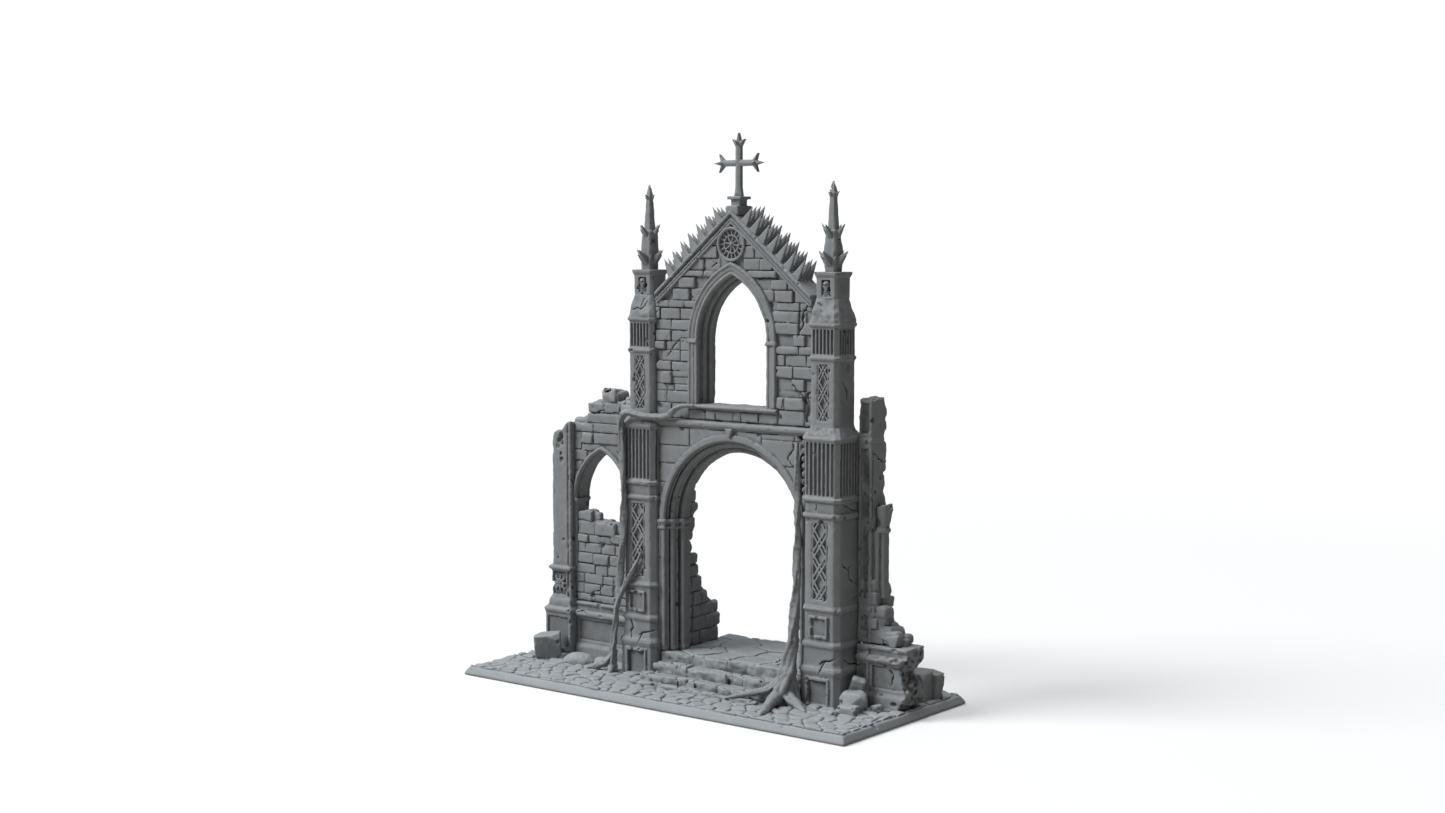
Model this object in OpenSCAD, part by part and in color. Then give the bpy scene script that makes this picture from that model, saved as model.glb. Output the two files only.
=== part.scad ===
// Ruined gothic gateway for a tabletop battlefield, scale about 1:56.
// Units are millimetres. X runs along the facade, the front faces -Y, +Z is up.
// The origin is the centre of the underside of the base slab.

/* [Base] */
// Length of the base slab along X, at its underside
base_len = 200; // [198:1:212]
// Depth of the base slab along Y, at its underside
base_dep = 88.2; // [87.8:0.2:96]
// Thickness of the base slab
base_thk = 3.7; // [3.2:0.1:4.4]
// Inset of the sloping slab edge
base_bevel = 2.3; // [1:0.1:2.4]
// Height of one paving cobble above the slab
cobble_h = 0.9; // [0.5:0.1:1]

/* [Portal] */
// Springing height of the round arches above the table
arch_z = 70.3; // [69.8:0.1:70.6]
// Inner radius of the outermost arch order
arch_r = 34.8; // [34.4:0.1:35]
// Step in radius from one order to the next
arch_step = 2.6; // [2:0.1:2.8]

/* [Upper window] */
// Clear half width of the lancet frame
lancet_a = 17.6; // [16.8:0.1:17.8]
// Springing height of the lancet
lancet_z = 146; // [145:0.5:147]

/* [Gable] */
// Slope of the gable in degrees
gable_deg = 40; // [39.6:0.1:40.2]
// Rows of crest spikes on each slope
spike_rows = 8; // [4:1:8]
// Length of a crest spike
spike_len = 7.4; // [4:0.2:8]

/* [Details] */
// Depth of the flutes in the two tower friezes
flute_depth = 0.7; // [0.4:0.1:1]
// Clearance between a locating peg and its socket, on the radius
peg_gap = 0.05; // [0.03:0.01:0.15]

/* [Hidden] */
$fn = 48;
stone = [0.55, 0.58, 0.61];
peg_colour = [0.7, 0.66, 0.5];
sides = [-1, 1];             // left, right
fit = 0.05;                  // clearance round a piece set into a recess
ground = 3.7;                // slab top that all heights are drawn for
lift = base_thk - ground;    // everything above the slab rides on it
landing_z = 14.8;            // height of the landing

mid = 16.8;                  // centre line of the gateway
tower_offset = 46.8;         // tower axis to centre line
tower_y = -0.5;              // tower axis along Y
lower_face = 8.7;            // tower axis to the end of the portal wall
upper_face = 6.8;            // tower axis to the end of the gable wall
portal_half = tower_offset - lower_face;
gable_half = tower_offset - upper_face;

portal_front = -5.2;
gable_front = -4.6;
wall_back = 5.0;             // back of the portal and gable walls
wing_front = 3.7;            // front of both wing walls
left_wing_back = 12.2;
right_wing_back = 15.2;

cornice_z = 109.4;           // underside of the cornice
gable_z = 113;               // foot of the gable wall
apex_z = 198.6;
gable_slope = tan(gable_deg);

// Tops of the tower castings
plinth_top = 18.5;
pedestal_top = 42.8;
lower_shaft_top = 85.7;
lower_frieze_top = 113.7;
upper_shaft_top = 141.3;
upper_frieze_top = 164;
niche_top = 172;
cap_top = 174.2;

// ---------- helpers ----------
// repeatable noise from 0 to 1
function rnd(i) = let(s = sin(i*127.1 + 31.7)*43758.5453) s - floor(s);

module box(x0, x1, y0, y1, z0, z1)
  translate([x0, y0, z0]) cube([x1-x0, y1-y0, z1-z0]);

// an outline drawn in X and Z, filled from y0 to y1
module upright(y0, y1) translate([0, y1, 0]) rotate([90, 0, 0]) linear_extrude(y1-y0) children();

module chamfered_square(half, cut) polygon([
  [-half+cut, -half], [half-cut, -half], [half, -half+cut], [half, half-cut],
  [half-cut, half], [-half+cut, half], [-half, half-cut], [-half, -half+cut]]);

module block(half, cut, z0, z1)
  translate([0, 0, z0]) linear_extrude(z1-z0) chamfered_square(half, cut);

// block whose half width runs from bottom to top
module taper(bottom, top, cut, z0, z1)
  translate([0, 0, z0]) linear_extrude(z1-z0, scale=top/bottom) chamfered_square(bottom, cut);

module raised() translate([0, 0, lift]) children();
module at_tower(side) translate([mid + side*tower_offset, tower_y, lift]) children();
module mirrored(side, centre=mid) translate([centre, 0, 0]) scale([side, 1, 1]) children();
module both_sides(centre=mid) for (side = sides) mirrored(side, centre) children();

// stones standing proud of a wall face, from rows of x, z, length, height, projection
module proud_stones(rows, face, root, centre=0) for (row = rows)
  box(centre+row[0], centre+row[0]+row[2], face-row[4], root, row[1], row[1]+row[3]);

// pointed opening, drawn in X and Z, with straight sides down to the bottom
module pointed(centre, spring, half, radius, bottom, facets) {
  shift = radius - half;
  union() {
    intersection() {
      translate([centre-shift, spring]) circle(r=radius, $fn=facets);
      translate([centre+shift, spring]) circle(r=radius, $fn=facets);
      translate([centre-60, spring]) square([120, 60]);
    }
    translate([centre-half, bottom]) square([2*half, spring-bottom]);
  }
}

// ---------- locating pegs ----------
// pegs on the tower axis: joint height, radius, reach below and above the joint
axis_pegs = [
  [ground, 2, 1.8, 2.4], [plinth_top, 2, 2.4, 2.4], [pedestal_top, 2, 2.4, 2.4],
  [lower_shaft_top, 2, 2.4, 2.4], [lower_frieze_top, 2, 2.4, 2.4],
  [upper_shaft_top, 2, 2.4, 2.4], [upper_frieze_top, 1.2, 1, 1],
  [niche_top, 1.2, 1, 1], [cap_top, 1.2, 1, 1]];
// pegs along X between walls and towers: joint from the tower axis, height
side_pegs = [[lower_face, 96], [upper_face, 122], [upper_face, 148]];
side_peg_r = 1;
side_peg_reach = 2.2;

module tower_pegs(gap) for (peg = axis_pegs)
  translate([0, 0, peg[0]-peg[2]-gap])
    cylinder(r=peg[1]+gap, h=peg[2]+peg[3]+2*gap, $fn=32);

module wall_pegs(gap) for (side = sides, peg = side_pegs)
  translate([mid + side*(tower_offset-peg[0]) - side_peg_reach - gap, 0, peg[1]])
    rotate([0, 90, 0]) cylinder(r=side_peg_r+gap, h=2*side_peg_reach+2*gap, $fn=32);

// the wall peg sockets, seen from the frame of one tower
module side_sockets(side)
  translate([-(mid + side*tower_offset), -tower_y, 0]) wall_pegs(peg_gap);

module locating_pegs() color(peg_colour) {
  for (side = sides) at_tower(side) tower_pegs(0);
  raised() wall_pegs(0);
}

// ---------- tower castings ----------
lower_cut = 2.2;             // corner chamfers
upper_cut = 1.7;
flute_count = 6;             // on each face of a frieze
// front recesses of the shafts: half width, bottom, top, half width of the shaft
lower_recess = [3.7, 46.2, 75.6, 8.6];
upper_recess = [2.6, 116.6, 138, 6.8];
recess_depth = 1.6;
lattice_cells = 4;           // crossings up one lattice panel

// the strip that a facade wall fills on the inner side of a tower
module wall_slot(side, face, front, z0, z1) {
  x0 = side < 0 ? face : -face-6;
  box(x0, x0+6, front-tower_y, wall_back-tower_y, z0, z1);
}

module shaft_recess(recess) {
  face = recess[3];
  box(-recess[0], recess[0], -face-3, -face+recess_depth, recess[1], recess[2]);
}

module flutes(half, width, pitch, z0, z1)
  for (turn = [0:90:270]) rotate(turn) for (i = [0:flute_count-1]) {
    x = (i - (flute_count-1)/2)*pitch;
    box(x-width/2, x+width/2, -half-1, -half+flute_depth, z0, z1);
  }

module plinth() difference() {
  union() {
    block(9.7, lower_cut, ground, 16.4);
    taper(9.7, 10.2, lower_cut, 16.4, 17.2);
    block(10.2, lower_cut, 17.2, plinth_top);
  }
  box(-6, 6, -12, -9, 6.2, 14.6);
  tower_pegs(peg_gap);
}

module pedestal() difference() {
  union() {
    taper(9.6, 8.9, lower_cut, plinth_top, 26.8);
    block(9.5, lower_cut, 26.8, 28.4);
    block(8.7, lower_cut, 28.4, 41.2);
    block(9.4, lower_cut, 41.2, pedestal_top);
    // raised square frame on the front
    for (z = [38.2, 30.2]) box(-4.6, 4.6, -9.3, -8.6, z, z+1);
    for (x = [-4.6, 3.6]) box(x, x+1, -9.3, -8.6, 30.2, 39.2);
  }
  tower_pegs(peg_gap);
}

module lower_shaft(side) difference() {
  union() {
    block(lower_recess[3], lower_cut, pedestal_top, 78);
    block(9.4, lower_cut, 78, 79.5);
    block(8.5, lower_cut, 79.5, 84.2);
    block(9.5, lower_cut, 84.2, lower_shaft_top);
  }
  shaft_recess(lower_recess);
  wall_slot(side, lower_face, portal_front, 60, 90);
  tower_pegs(peg_gap);
}

module lower_frieze(side) difference() {
  union() {
    block(8.7, 2, lower_shaft_top, 109);
    taper(9.2, 6.9, 2.1, 109, lower_frieze_top);
  }
  flutes(half=8.7, width=0.95, pitch=1.95, z0=86.7, z1=108.2);
  wall_slot(side, lower_face, portal_front, 80, cornice_z);
  wall_slot(side, upper_face, portal_front-1.4, cornice_z, 114);
  side_sockets(side);
  tower_pegs(peg_gap);
}

module upper_shaft(side) difference() {
  union() {
    block(upper_recess[3], upper_cut, lower_frieze_top, 139.8);
    block(7.5, upper_cut, 139.8, upper_shaft_top);
  }
  shaft_recess(upper_recess);
  wall_slot(side, upper_face, gable_front, gable_z, 142);
  side_sockets(side);
  tower_pegs(peg_gap);
}

module upper_frieze(side) difference() {
  union() {
    block(6.85, upper_cut, upper_shaft_top, 152.9);
    block(7.5, upper_cut, 152.9, 154.2);
    taper(7.3, 5.2, 1.6, 154.2, upper_frieze_top);
  }
  flutes(half=6.85, width=0.75, pitch=1.6, z0=142.3, z1=152.2);
  wall_slot(side, upper_face, gable_front, 140, 165);
  side_sockets(side);
  tower_pegs(peg_gap);
}

module niche_block() difference() {
  block(5.1, 1.1, upper_frieze_top, niche_top);
  box(-2, 2, -7, -2.6, 164.7, 171.3);
  tower_pegs(peg_gap);
}

module cap() difference() {
  union() {
    block(5.3, 0.9, niche_top, 172.7);
    block(5.8, 0.9, 172.7, cap_top);
  }
  tower_pegs(peg_gap);
}

module spire() difference() {
  union() {
    taper(2.7, 2.95, 0.5, cap_top, 182);
    taper(2.95, 2.35, 0.5, 182, 190.4);
    taper(1.75, 1.05, 0.3, 190.4, 204.2);
    taper(1.5, 1.1, 0.3, 204.2, 205);
    taper(1.1, 0.12, 0.2, 205, 209.5);
  }
  tower_pegs(peg_gap);
}

// leaning pyramid with its root at x = root and its point at x = tip
module thorn(root, tip, z0, z1, tip_z, half) polyhedron(
  [[root, -half, z0], [root, half, z0], [root, half, z1], [root, -half, z1], [tip, 0, tip_z]],
  [[0, 1, 2, 3], [0, 4, 1], [1, 4, 2], [2, 4, 3], [3, 4, 0]]);

module thorns() for (turn = [0:90:270]) rotate(turn) {
  thorn(root=3.05, tip=7.8, z0=176.4, z1=180, tip_z=183, half=1.15);
  thorn(root=2.75, tip=6.3, z0=187.2, z1=190.2, tip_z=194, half=0.95);
  thorn(root=1.6, tip=3.3, z0=203.6, z1=204.9, tip_z=206.4, half=0.4);
}

skull_z = 168.8;
module skull() difference() {
  union() {
    translate([0, -4.1, skull_z]) scale([1, 1.05, 1.1]) sphere(r=1.25, $fn=24);
    box(-0.75, 0.75, -4.9, -3.3, 166.6, 168.4);
    box(-1.1, 1.1, -4.3, -2.7, 164.72, 167);
  }
  // two eyes and a slot below them
  for (x = [-0.5, 0.5])
    translate([x, -4.6, skull_z]) rotate([90, 0, 0]) cylinder(r=0.36, h=3, $fn=16);
  box(-0.14, 0.14, -6, -4.7, 167.8, 168.3);
}

// backing plate with crossed bars, sized to a shaft recess
module lattice(recess) {
  half = recess[0] - fit;
  z0 = recess[1] + fit;
  z1 = recess[2] - fit;
  face = recess[3];
  pitch = (z1-z0)/lattice_cells;
  union() {
    box(-half, half, -face+0.7, -face+1.5, z0, z1);
    intersection() {
      box(-half, half, -face-0.1, -face+1.5, z0, z1);
      for (i = [0:lattice_cells-1], lean = [-1, 1])
        translate([0, -face+0.5, z0 + pitch*(i+0.5)])
          rotate([0, lean*atan2(2*half, pitch), 0])
            cube([0.8, 1.2, 2*pitch + 4*half], center=true);
    }
  }
}

module tower_plinth_left() color(stone) at_tower(-1) plinth();
module tower_plinth_right() color(stone) at_tower(1) plinth();
module tower_pedestal_left() color(stone) at_tower(-1) pedestal();
module tower_pedestal_right() color(stone) at_tower(1) pedestal();
module tower_shaft_lower_left() color(stone) at_tower(-1) lower_shaft(-1);
module tower_shaft_lower_right() color(stone) at_tower(1) lower_shaft(1);
module tower_frieze_lower_left() color(stone) at_tower(-1) lower_frieze(-1);
module tower_frieze_lower_right() color(stone) at_tower(1) lower_frieze(1);
module tower_shaft_upper_left() color(stone) at_tower(-1) upper_shaft(-1);
module tower_shaft_upper_right() color(stone) at_tower(1) upper_shaft(1);
module tower_frieze_upper_left() color(stone) at_tower(-1) upper_frieze(-1);
module tower_frieze_upper_right() color(stone) at_tower(1) upper_frieze(1);
module niche_block_left() color(stone) at_tower(-1) niche_block();
module niche_block_right() color(stone) at_tower(1) niche_block();
module tower_cap_left() color(stone) at_tower(-1) cap();
module tower_cap_right() color(stone) at_tower(1) cap();
module spire_left() color(stone) at_tower(-1) spire();
module spire_right() color(stone) at_tower(1) spire();
module spire_thorns() color(stone) for (side = sides) at_tower(side) thorns();
module niche_skulls() color(stone) for (side = sides) at_tower(side) skull();
module lattice_panels_lower() color(stone) for (side = sides) at_tower(side) lattice(lower_recess);
module lattice_panels_upper() color(stone) for (side = sides) at_tower(side) lattice(upper_recess);

// ---------- base, paving and steps ----------
module bevelled_bar(length, depth) upright(-depth/2, depth/2) polygon([
  [-length/2, 0], [length/2, 0],
  [length/2-base_bevel, base_thk], [-length/2+base_bevel, base_thk]]);

module base_slab() color(stone) difference() {
  intersection() {
    bevelled_bar(base_len, base_dep);
    rotate([0, 0, 90]) bevelled_bar(base_dep, base_len);
  }
  for (side = sides) at_tower(side) tower_pegs(peg_gap);
}

// areas that stay free of cobbles: x0, x1, y0, y1
clear_areas = [
  [-25, 60, -27.5, 44], [-42, -19, -12, 10], [52, 76, -12, 10], [-92, -40, -2.5, 18],
  [72, 99, -1, 18.5], [-23, -9, 8, 40], [-90, -76, -15, -3], [-73, -56, -13, -2],
  [44, 72, -38, -9], [72.5, 92, -21, -1], [85, 98, 17, 34], [-52, -40, -18, -2]];
cobble_columns = 23;
cobble_rows = 14;
cobble_pitch = [8.15, 5.7];
cobble_start = [-91.8, -37.6];
cobble_limit = [93.2, 38.4];
cobble_margin = 2.6;         // cobble centre to a clear area

function is_free(x, y, margin) = len([for (area = clear_areas)
  if (x > area[0]-margin && x < area[1]+margin && y > area[2]-margin && y < area[3]+margin) 1
]) == 0;

// uneven seven-sided stone
module cobble(seed, x, y) {
  half_x = 3.2 + 0.6*rnd(seed);
  half_y = 2.25 + 0.4*rnd(seed+7);
  translate([x, y, ground]) rotate(rnd(seed+3)*30 - 15) linear_extrude(cobble_h)
    polygon([for (k = [0:6])
      let(angle = k*360/7 + 12*rnd(seed*9+k), size = 0.86 + 0.14*rnd(seed*5+k))
      [half_x*size*cos(angle), half_y*size*sin(angle)]]);
}

module cobble_paving() color(stone) raised()
  for (j = [0:cobble_rows-1], i = [0:cobble_columns-1])
    let(x = cobble_start[0] + cobble_pitch[0]*i + (j%2)*cobble_pitch[0]/2,
        y = cobble_start[1] + cobble_pitch[1]*j,
        seed = i*31 + j*7)
      if (abs(x) < cobble_limit[0] && abs(y) < cobble_limit[1] && is_free(x, y, cobble_margin))
        cobble(seed, x + 0.5*rnd(seed+1), y + 0.4*rnd(seed+2));

// flat piece standing on the slab, from an outline in X and Y
module step(height, outline) raised() translate([0, 0, ground])
  linear_extrude(height) polygon(outline);

module landing_floor() color(stone) difference() {
  step(landing_z-ground, [
    [-20.2, -6.5], [-2, -5.2], [10, -6.8], [24, -4.4], [36, -6.2], [53.6, -6.4],
    [53.6, 41.2], [14, 41.4], [-5, 38.9], [-19, 40.6], [-20.2, 41]]);
  // joints between the flags
  raised() {
    for (x = [-6, 9, 24, 39]) box(x, x+0.35, 8, 45, landing_z-0.6, landing_z+1);
    for (y = [14, 27]) box(-25, 60, y, y+0.35, landing_z-0.6, landing_z+1);
  }
}

module step_upper() color(stone) step(7.6, [
  [-19.8, -13.4], [-4, -12.2], [8, -14], [22, -12.6], [38, -13.2], [50, -12],
  [50, -6.9], [36, -6.9], [24, -6.9], [-19.8, -6.9]]);
module step_middle() color(stone) step(4.1, [
  [-20.4, -19.2], [-8, -20.6], [6, -19], [20, -21.4], [34, -19.8], [45, -18.2],
  [45, -14.1], [-20.4, -14.1]]);
module step_lower() color(stone) step(1.9, [
  [-21, -24.4], [-9, -26], [4, -25.2], [16, -27], [30, -25.6], [42, -23.6],
  [42, -21.5], [-21, -21.5]]);

// ---------- portal ----------
// three arch orders, from the outermost at the front to the innermost at the back
order_r = [arch_r, arch_r-arch_step, arch_r-2*arch_step];
order_y = [portal_front, -2.2, 1.0, wall_back];   // order k fills order_y[k] to order_y[k+1]
ring_r = arch_r + 2.9;       // outside radius of all orders
impost_z = 66.2;             // top of the jambs
impost_cap_z = 68.4;

module half_disc(r) intersection() {
  translate([mid, arch_z]) circle(r=r, $fn=128);
  translate([mid-60, arch_z]) square([120, 60]);
}

module arch_ring(inner, outer, y0, y1) upright(y0, y1) difference() {
  half_disc(outer);
  half_disc(inner);
}

// order k with a round groove along its inner face at depth groove_y
module grooved_order(k, groove_y) difference() {
  arch_ring(order_r[k], ring_r, order_y[k], order_y[k+1]);
  translate([mid, 0, arch_z]) rotate([90, 0, 0]) rotate_extrude($fn=128)
    translate([order_r[k], -groove_y]) circle(r=0.7, $fn=24);
}

module portal_arch_outer() color(stone) raised() union() {
  arch_ring(arch_r, ring_r, portal_front-0.8, order_y[1]);
  arch_ring(arch_r+1, arch_r+2.2, portal_front-1.3, portal_front-0.7);
}
module portal_arch_middle() color(stone) raised() grooved_order(1, 0.2);
module portal_arch_inner() color(stone) raised() grooved_order(2, 3);

module jamb(side) mirrored(side) difference() {
  height = impost_z - landing_z;
  union() for (k = [0:2]) {
    r = order_r[k];
    y = order_y[k];
    first = k == 0;
    // stepped pier, thick and thin shafts, foot block
    box(r+0.9, portal_half, y+(first ? 0.2 : 0), order_y[k+1], landing_z, impost_z);
    translate([r+1.3, y+1.5, landing_z]) cylinder(r=1.25, h=height, $fn=32);
    translate([r+2.1, y+0.1+(first ? 0.4 : 0), landing_z]) cylinder(r=0.55, h=height, $fn=24);
    box(r-0.1, portal_half, y+0.15, y+3.0, landing_z, landing_z+2.6);
  }
  // room for the wider foot of the tower
  box(36, 50, portal_front-1, wall_back+1, landing_z-1, pedestal_top+0.02);
}
module portal_jamb_left() color(stone) raised() jamb(-1);
module portal_jamb_right() color(stone) raised() jamb(1);

module portal_imposts() color(stone) raised() both_sides() union() for (k = [0:2]) {
  r = order_r[k];
  y = order_y[k];
  back = order_y[k+1];
  box(r+0.2, portal_half, y-(k==0 ? 0.3 : 0), back, impost_z, arch_z);
  box(r-0.4, portal_half, y-(k==0 ? 0.9 : 0.6), back-(k==2 ? 0 : 0.6), impost_cap_z, arch_z);
}

// x from the centre line, z, length, height, projection
spandrel_stones = [
  [-37.6, 100, 6.6, 3.6, 0.5], [-30.6, 103.9, 8.6, 3.5, 0.4], [-37.9, 95.6, 4.5, 4.1, 0.3],
  [24, 104, 7, 3.4, 0.5], [31.4, 100.2, 6.4, 3.5, 0.35], [33.6, 92, 4.3, 3.2, 0.5]];

module portal_spandrel_wall() color(stone) raised() difference() {
  union() {
    upright(portal_front, wall_back) difference() {
      translate([mid-portal_half, arch_z]) square([2*portal_half, cornice_z-arch_z]);
      half_disc(ring_r);
    }
    proud_stones(spandrel_stones, portal_front, portal_front+0.5, mid);
  }
  for (x = [-12, 0, 12])
    box(mid+x, mid+x+0.3, portal_front-1, portal_front+0.4, 108.2, cornice_z);
  wall_pegs(peg_gap);
}

module cornice() color(stone) raised() union() {
  // courses: projection, bottom, top
  for (course = [[0.4, cornice_z, 110.4], [1.4, 110.4, 112.4], [0.8, 112.4, gable_z]])
    box(mid-gable_half, mid+gable_half, portal_front-course[0], wall_back, course[1], course[2]);
  // pendant triangle on the front
  upright(portal_front-1.9, portal_front-1.3)
    polygon([[mid-2.2, 110.6], [mid+2.2, 110.6], [mid, 106.2]]);
}

// ---------- gable storey ----------
lancet_rise = 26.6;          // springing to point
lancet_r = (lancet_a*lancet_a + lancet_rise*lancet_rise)/(2*lancet_a);
frame_w = 4.9;               // width of the lancet frame
frame_z = 119.4;             // foot of the frame
sill_z = 119.3;              // top of the sill
sill_foot = 117.4;
rose_r = 6.3;
rose_z = 184.6;
apex_x = 3.1;                // half sizes of the pedestal foot
apex_y = 4.9;
cross_peg_r = 0.8;
cross_z = 204.3;             // foot of the cross

// x from the centre line, z, length, height, projection
gable_stones = [
  [-37, 117, 8, 3.4, 0.5], [-29, 124.2, 5, 3.2, 0.7], [-38, 131.4, 7, 3.6, 0.5],
  [-31, 138.6, 6, 3.2, 0.6], [-38, 145.8, 9, 3.5, 0.45], [-33, 153, 8, 3.3, 0.6],
  [-27, 160.2, 7, 3.2, 0.5], [-27, 145.8, 4, 3.3, 0.7], [-30, 131.6, 6, 3.2, 0.35],
  [26, 117, 6, 3.4, 0.6], [32.5, 124.2, 6, 3.3, 0.5], [25.5, 131.4, 7, 3.5, 0.5],
  [33, 138.6, 5.6, 3.2, 0.7], [27, 145.8, 9, 3.4, 0.4], [23.5, 160.2, 7, 3.4, 0.6],
  [31, 153, 7, 3.3, 0.5], [-19, 167.4, 8, 3.2, 0.6], [12, 169, 8, 3.3, 0.5],
  [-12.5, 174.6, 6, 3.2, 0.45], [7.6, 176, 5, 3.2, 0.5]];

// the lancet opening, grown outwards
module lancet(grow, bottom) pointed(mid, lancet_z, lancet_a+grow, lancet_r+grow, bottom, 128);

// frame layer from the outer edge in to the opening grown by inner
module lancet_ring(inner, y0, y1) upright(y0, y1) difference() {
  lancet(frame_w, frame_z);
  lancet(inner, 118);
}

module gable_wall() color(stone) raised() difference() {
  top = apex_z - 2.6;
  union() {
    upright(gable_front, wall_back) polygon([
      [mid-gable_half, gable_z], [mid+gable_half, gable_z],
      [mid+gable_half, top-gable_half*gable_slope], [mid, top],
      [mid-gable_half, top-gable_half*gable_slope]]);
    proud_stones(gable_stones, gable_front, gable_front+0.5, mid);
  }
  upright(gable_front-5, wall_back+1) lancet(frame_w, sill_z);
  box(mid-23.6, mid+23.6, gable_front-5, wall_back+1, sill_foot, sill_z+fit);
  translate([mid, gable_front+1, rose_z]) rotate([90, 0, 0])
    cylinder(r=rose_r+fit, h=5, $fn=64);
  wall_pegs(peg_gap);
}

module lancet_frame() color(stone) raised() union() {
  lancet_ring(0, gable_front-0.6, -1.4);
  lancet_ring(3.3, gable_front-1.2, gable_front-0.5);
  both_sides()
    box(lancet_a-0.1, lancet_a+5.4, gable_front-1.7, gable_front-0.5, 144.4, 146.4);
}

module lancet_reveal() color(stone) raised() union() {
  lancet_ring(-1.2, -1.4, 0.8);
  lancet_ring(-2.3, 0.8, 3);
  lancet_ring(-0.6, 3, wall_back);
}

module lancet_sill() color(stone) raised() union() {
  box(mid-23.5, mid+23.5, gable_front-2.2, wall_back, 118, sill_z);
  box(mid-22.6, mid+22.6, gable_front-1.4, wall_back, sill_foot, 118);
}

module rose_medallion() color(stone)
  translate([mid, gable_front+0.98, rose_z+lift]) rotate([90, 0, 0]) union() {
    // dished disc with a ring of small holes
    difference() {
      cylinder(r=rose_r, h=1.6, $fn=64);
      translate([0, 0, 1.1]) cylinder(r=5.3, h=2, $fn=64);
      for (a = [0:18:342]) rotate(a) translate([4.5, 0, 0.7]) cylinder(r=0.38, h=2, $fn=16);
    }
    // rim, inner ring, spokes and hub
    rotate_extrude($fn=64) translate([5.65, 1.5]) circle(r=0.6, $fn=20);
    rotate_extrude($fn=64) translate([3.3, 1.1]) circle(r=0.32, $fn=16);
    for (a = [0:30:330]) rotate(a) translate([0, -0.22, 0.8]) cube([5.4, 0.44, 0.7]);
    cylinder(r=1, h=1.9, $fn=24);
  }

// strip down the slope; low and high are drops below the apex line
module slope_strip(reach, low, high, y0, y1) {
  drop = reach*gable_slope;
  upright(y0, y1) polygon([
    [0, apex_z-low], [0, apex_z-high], [reach, apex_z-high-drop], [reach, apex_z-low-drop]]);
}

module coping(side) mirrored(side) difference() {
  reach = gable_half - 0.1;
  union() {
    slope_strip(reach, 1.5, 0, gable_front-1.5, wall_back+0.4);
    slope_strip(reach, 2.55, 1.4, gable_front-0.6, wall_back);
    slope_strip(37, 5.4, 4.2, gable_front-1.0, gable_front-0.02);
    slope_strip(38.5, 4.4, 2.5, gable_front-0.4, gable_front-0.02);
  }
  // seat of the apex pedestal
  box(-1, apex_x+fit, -apex_y-fit, apex_y+fit, apex_z-2.02, apex_z+2);
}
module gable_coping() color(stone) raised() {
  coping(-1);
  coping(1);
}

// spike on the slope, its root centred at distance x from the centre line
module spike(x, y) {
  half_x = 1.9;
  half_y = 1.2;
  size = spike_len/7.4;
  root_z = apex_z + 0.02;
  high = root_z - (x-half_x)*gable_slope;
  low = root_z - (x+half_x)*gable_slope;
  polyhedron(
    [[x-half_x, y-half_y, high], [x+half_x, y-half_y, low],
     [x+half_x, y+half_y, low], [x-half_x, y+half_y, high],
     [x+2.5*size, y, apex_z-x*gable_slope+7*size]],
    [[0, 1, 2, 3], [0, 4, 1], [1, 4, 2], [2, 4, 3], [3, 4, 0]]);
}

// rows too near the foot of the slope are left out
module crest_spikes() color(stone) raised() both_sides()
  for (row = [0:spike_rows-1], j = [0:3])
    if (7.05 + 4.28*row < 36.6) spike(6.1 + 4.25*row, -4.2 + 2.63*j);

module apex_pedestal() color(stone) translate([mid, 0, lift]) difference() {
  union() {
    box(-apex_x, apex_x, -apex_y, apex_y, apex_z-2, 200.4);
    box(-2.3, 2.3, -2.5, 2.5, 200.4, 203.1);
    box(-3.4, 3.4, -3.5, 3.5, 203.1, cross_z);
  }
  translate([0, 0, 201.5]) cylinder(r=cross_peg_r+peg_gap, h=4, $fn=24);
}

module cross_finial() color(stone) translate([mid, 0, lift]) union() {
  upright(-0.9, 0.9) union() {
    polygon([
      [-1.5, cross_z], [1.5, cross_z], [1, 206.4], [1, 226], [2.9, 226.6], [0.75, 227.4],
      [0, 229.8], [-0.75, 227.4], [-2.9, 226.6], [-1, 226], [-1, 206.4]]);
    for (side = sides) scale([side, 1]) polygon([
      [0, 216.6], [8.9, 216.7], [9.2, 214.5], [10.2, 216.7], [12.3, 217.6],
      [10.2, 218.5], [9.2, 220.8], [8.9, 218.5], [0, 218.6]]);
  }
  translate([0, 0, 201.6]) cylinder(r=cross_peg_r, h=4, $fn=24);
}

// ---------- left wing ----------
left_x0 = -77.4;             // wing wall, from the end pier
left_x1 = -39.7;             // to the tower
left_wall_z = 43;            // foot of the wall above the infill
window_x = -61;              // side window: centre, half width, radius, springing
window_half = 15;
window_r = 23.6;
window_z = 73.5;
window_trim = 1.7;           // width of the arch round it
plinth_z = 28.4;             // top of both wing plinths

module side_window(grow, bottom)
  pointed(window_x, window_z, window_half+grow, window_r+grow, bottom, 96);

// courses of both wing plinths: projection, bottom, top
plinth_courses = [
  [2.8, ground, 9], [2.4, 9, 10.4], [1.6, 10.4, 21.6], [2.1, 21.6, 22.4],
  [2.6, 22.4, 24.2], [1, 24.2, 27], [1.6, 27, plinth_z]];
module plinth_run(x0, x1, back) for (course = plinth_courses)
  box(x0, x1, wing_front-course[0], back, course[1], course[2]);

// sunk panel in the front of a wing plinth
module plinth_panel(x0, x1) box(x0, x1, wing_front-3, wing_front-1.1, 12, 20.4);

module left_wing_plinth() color(stone) raised() difference() {
  plinth_run(-74.9, -40.3, left_wing_back);
  plinth_panel(-73.5, -43);
}

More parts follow.
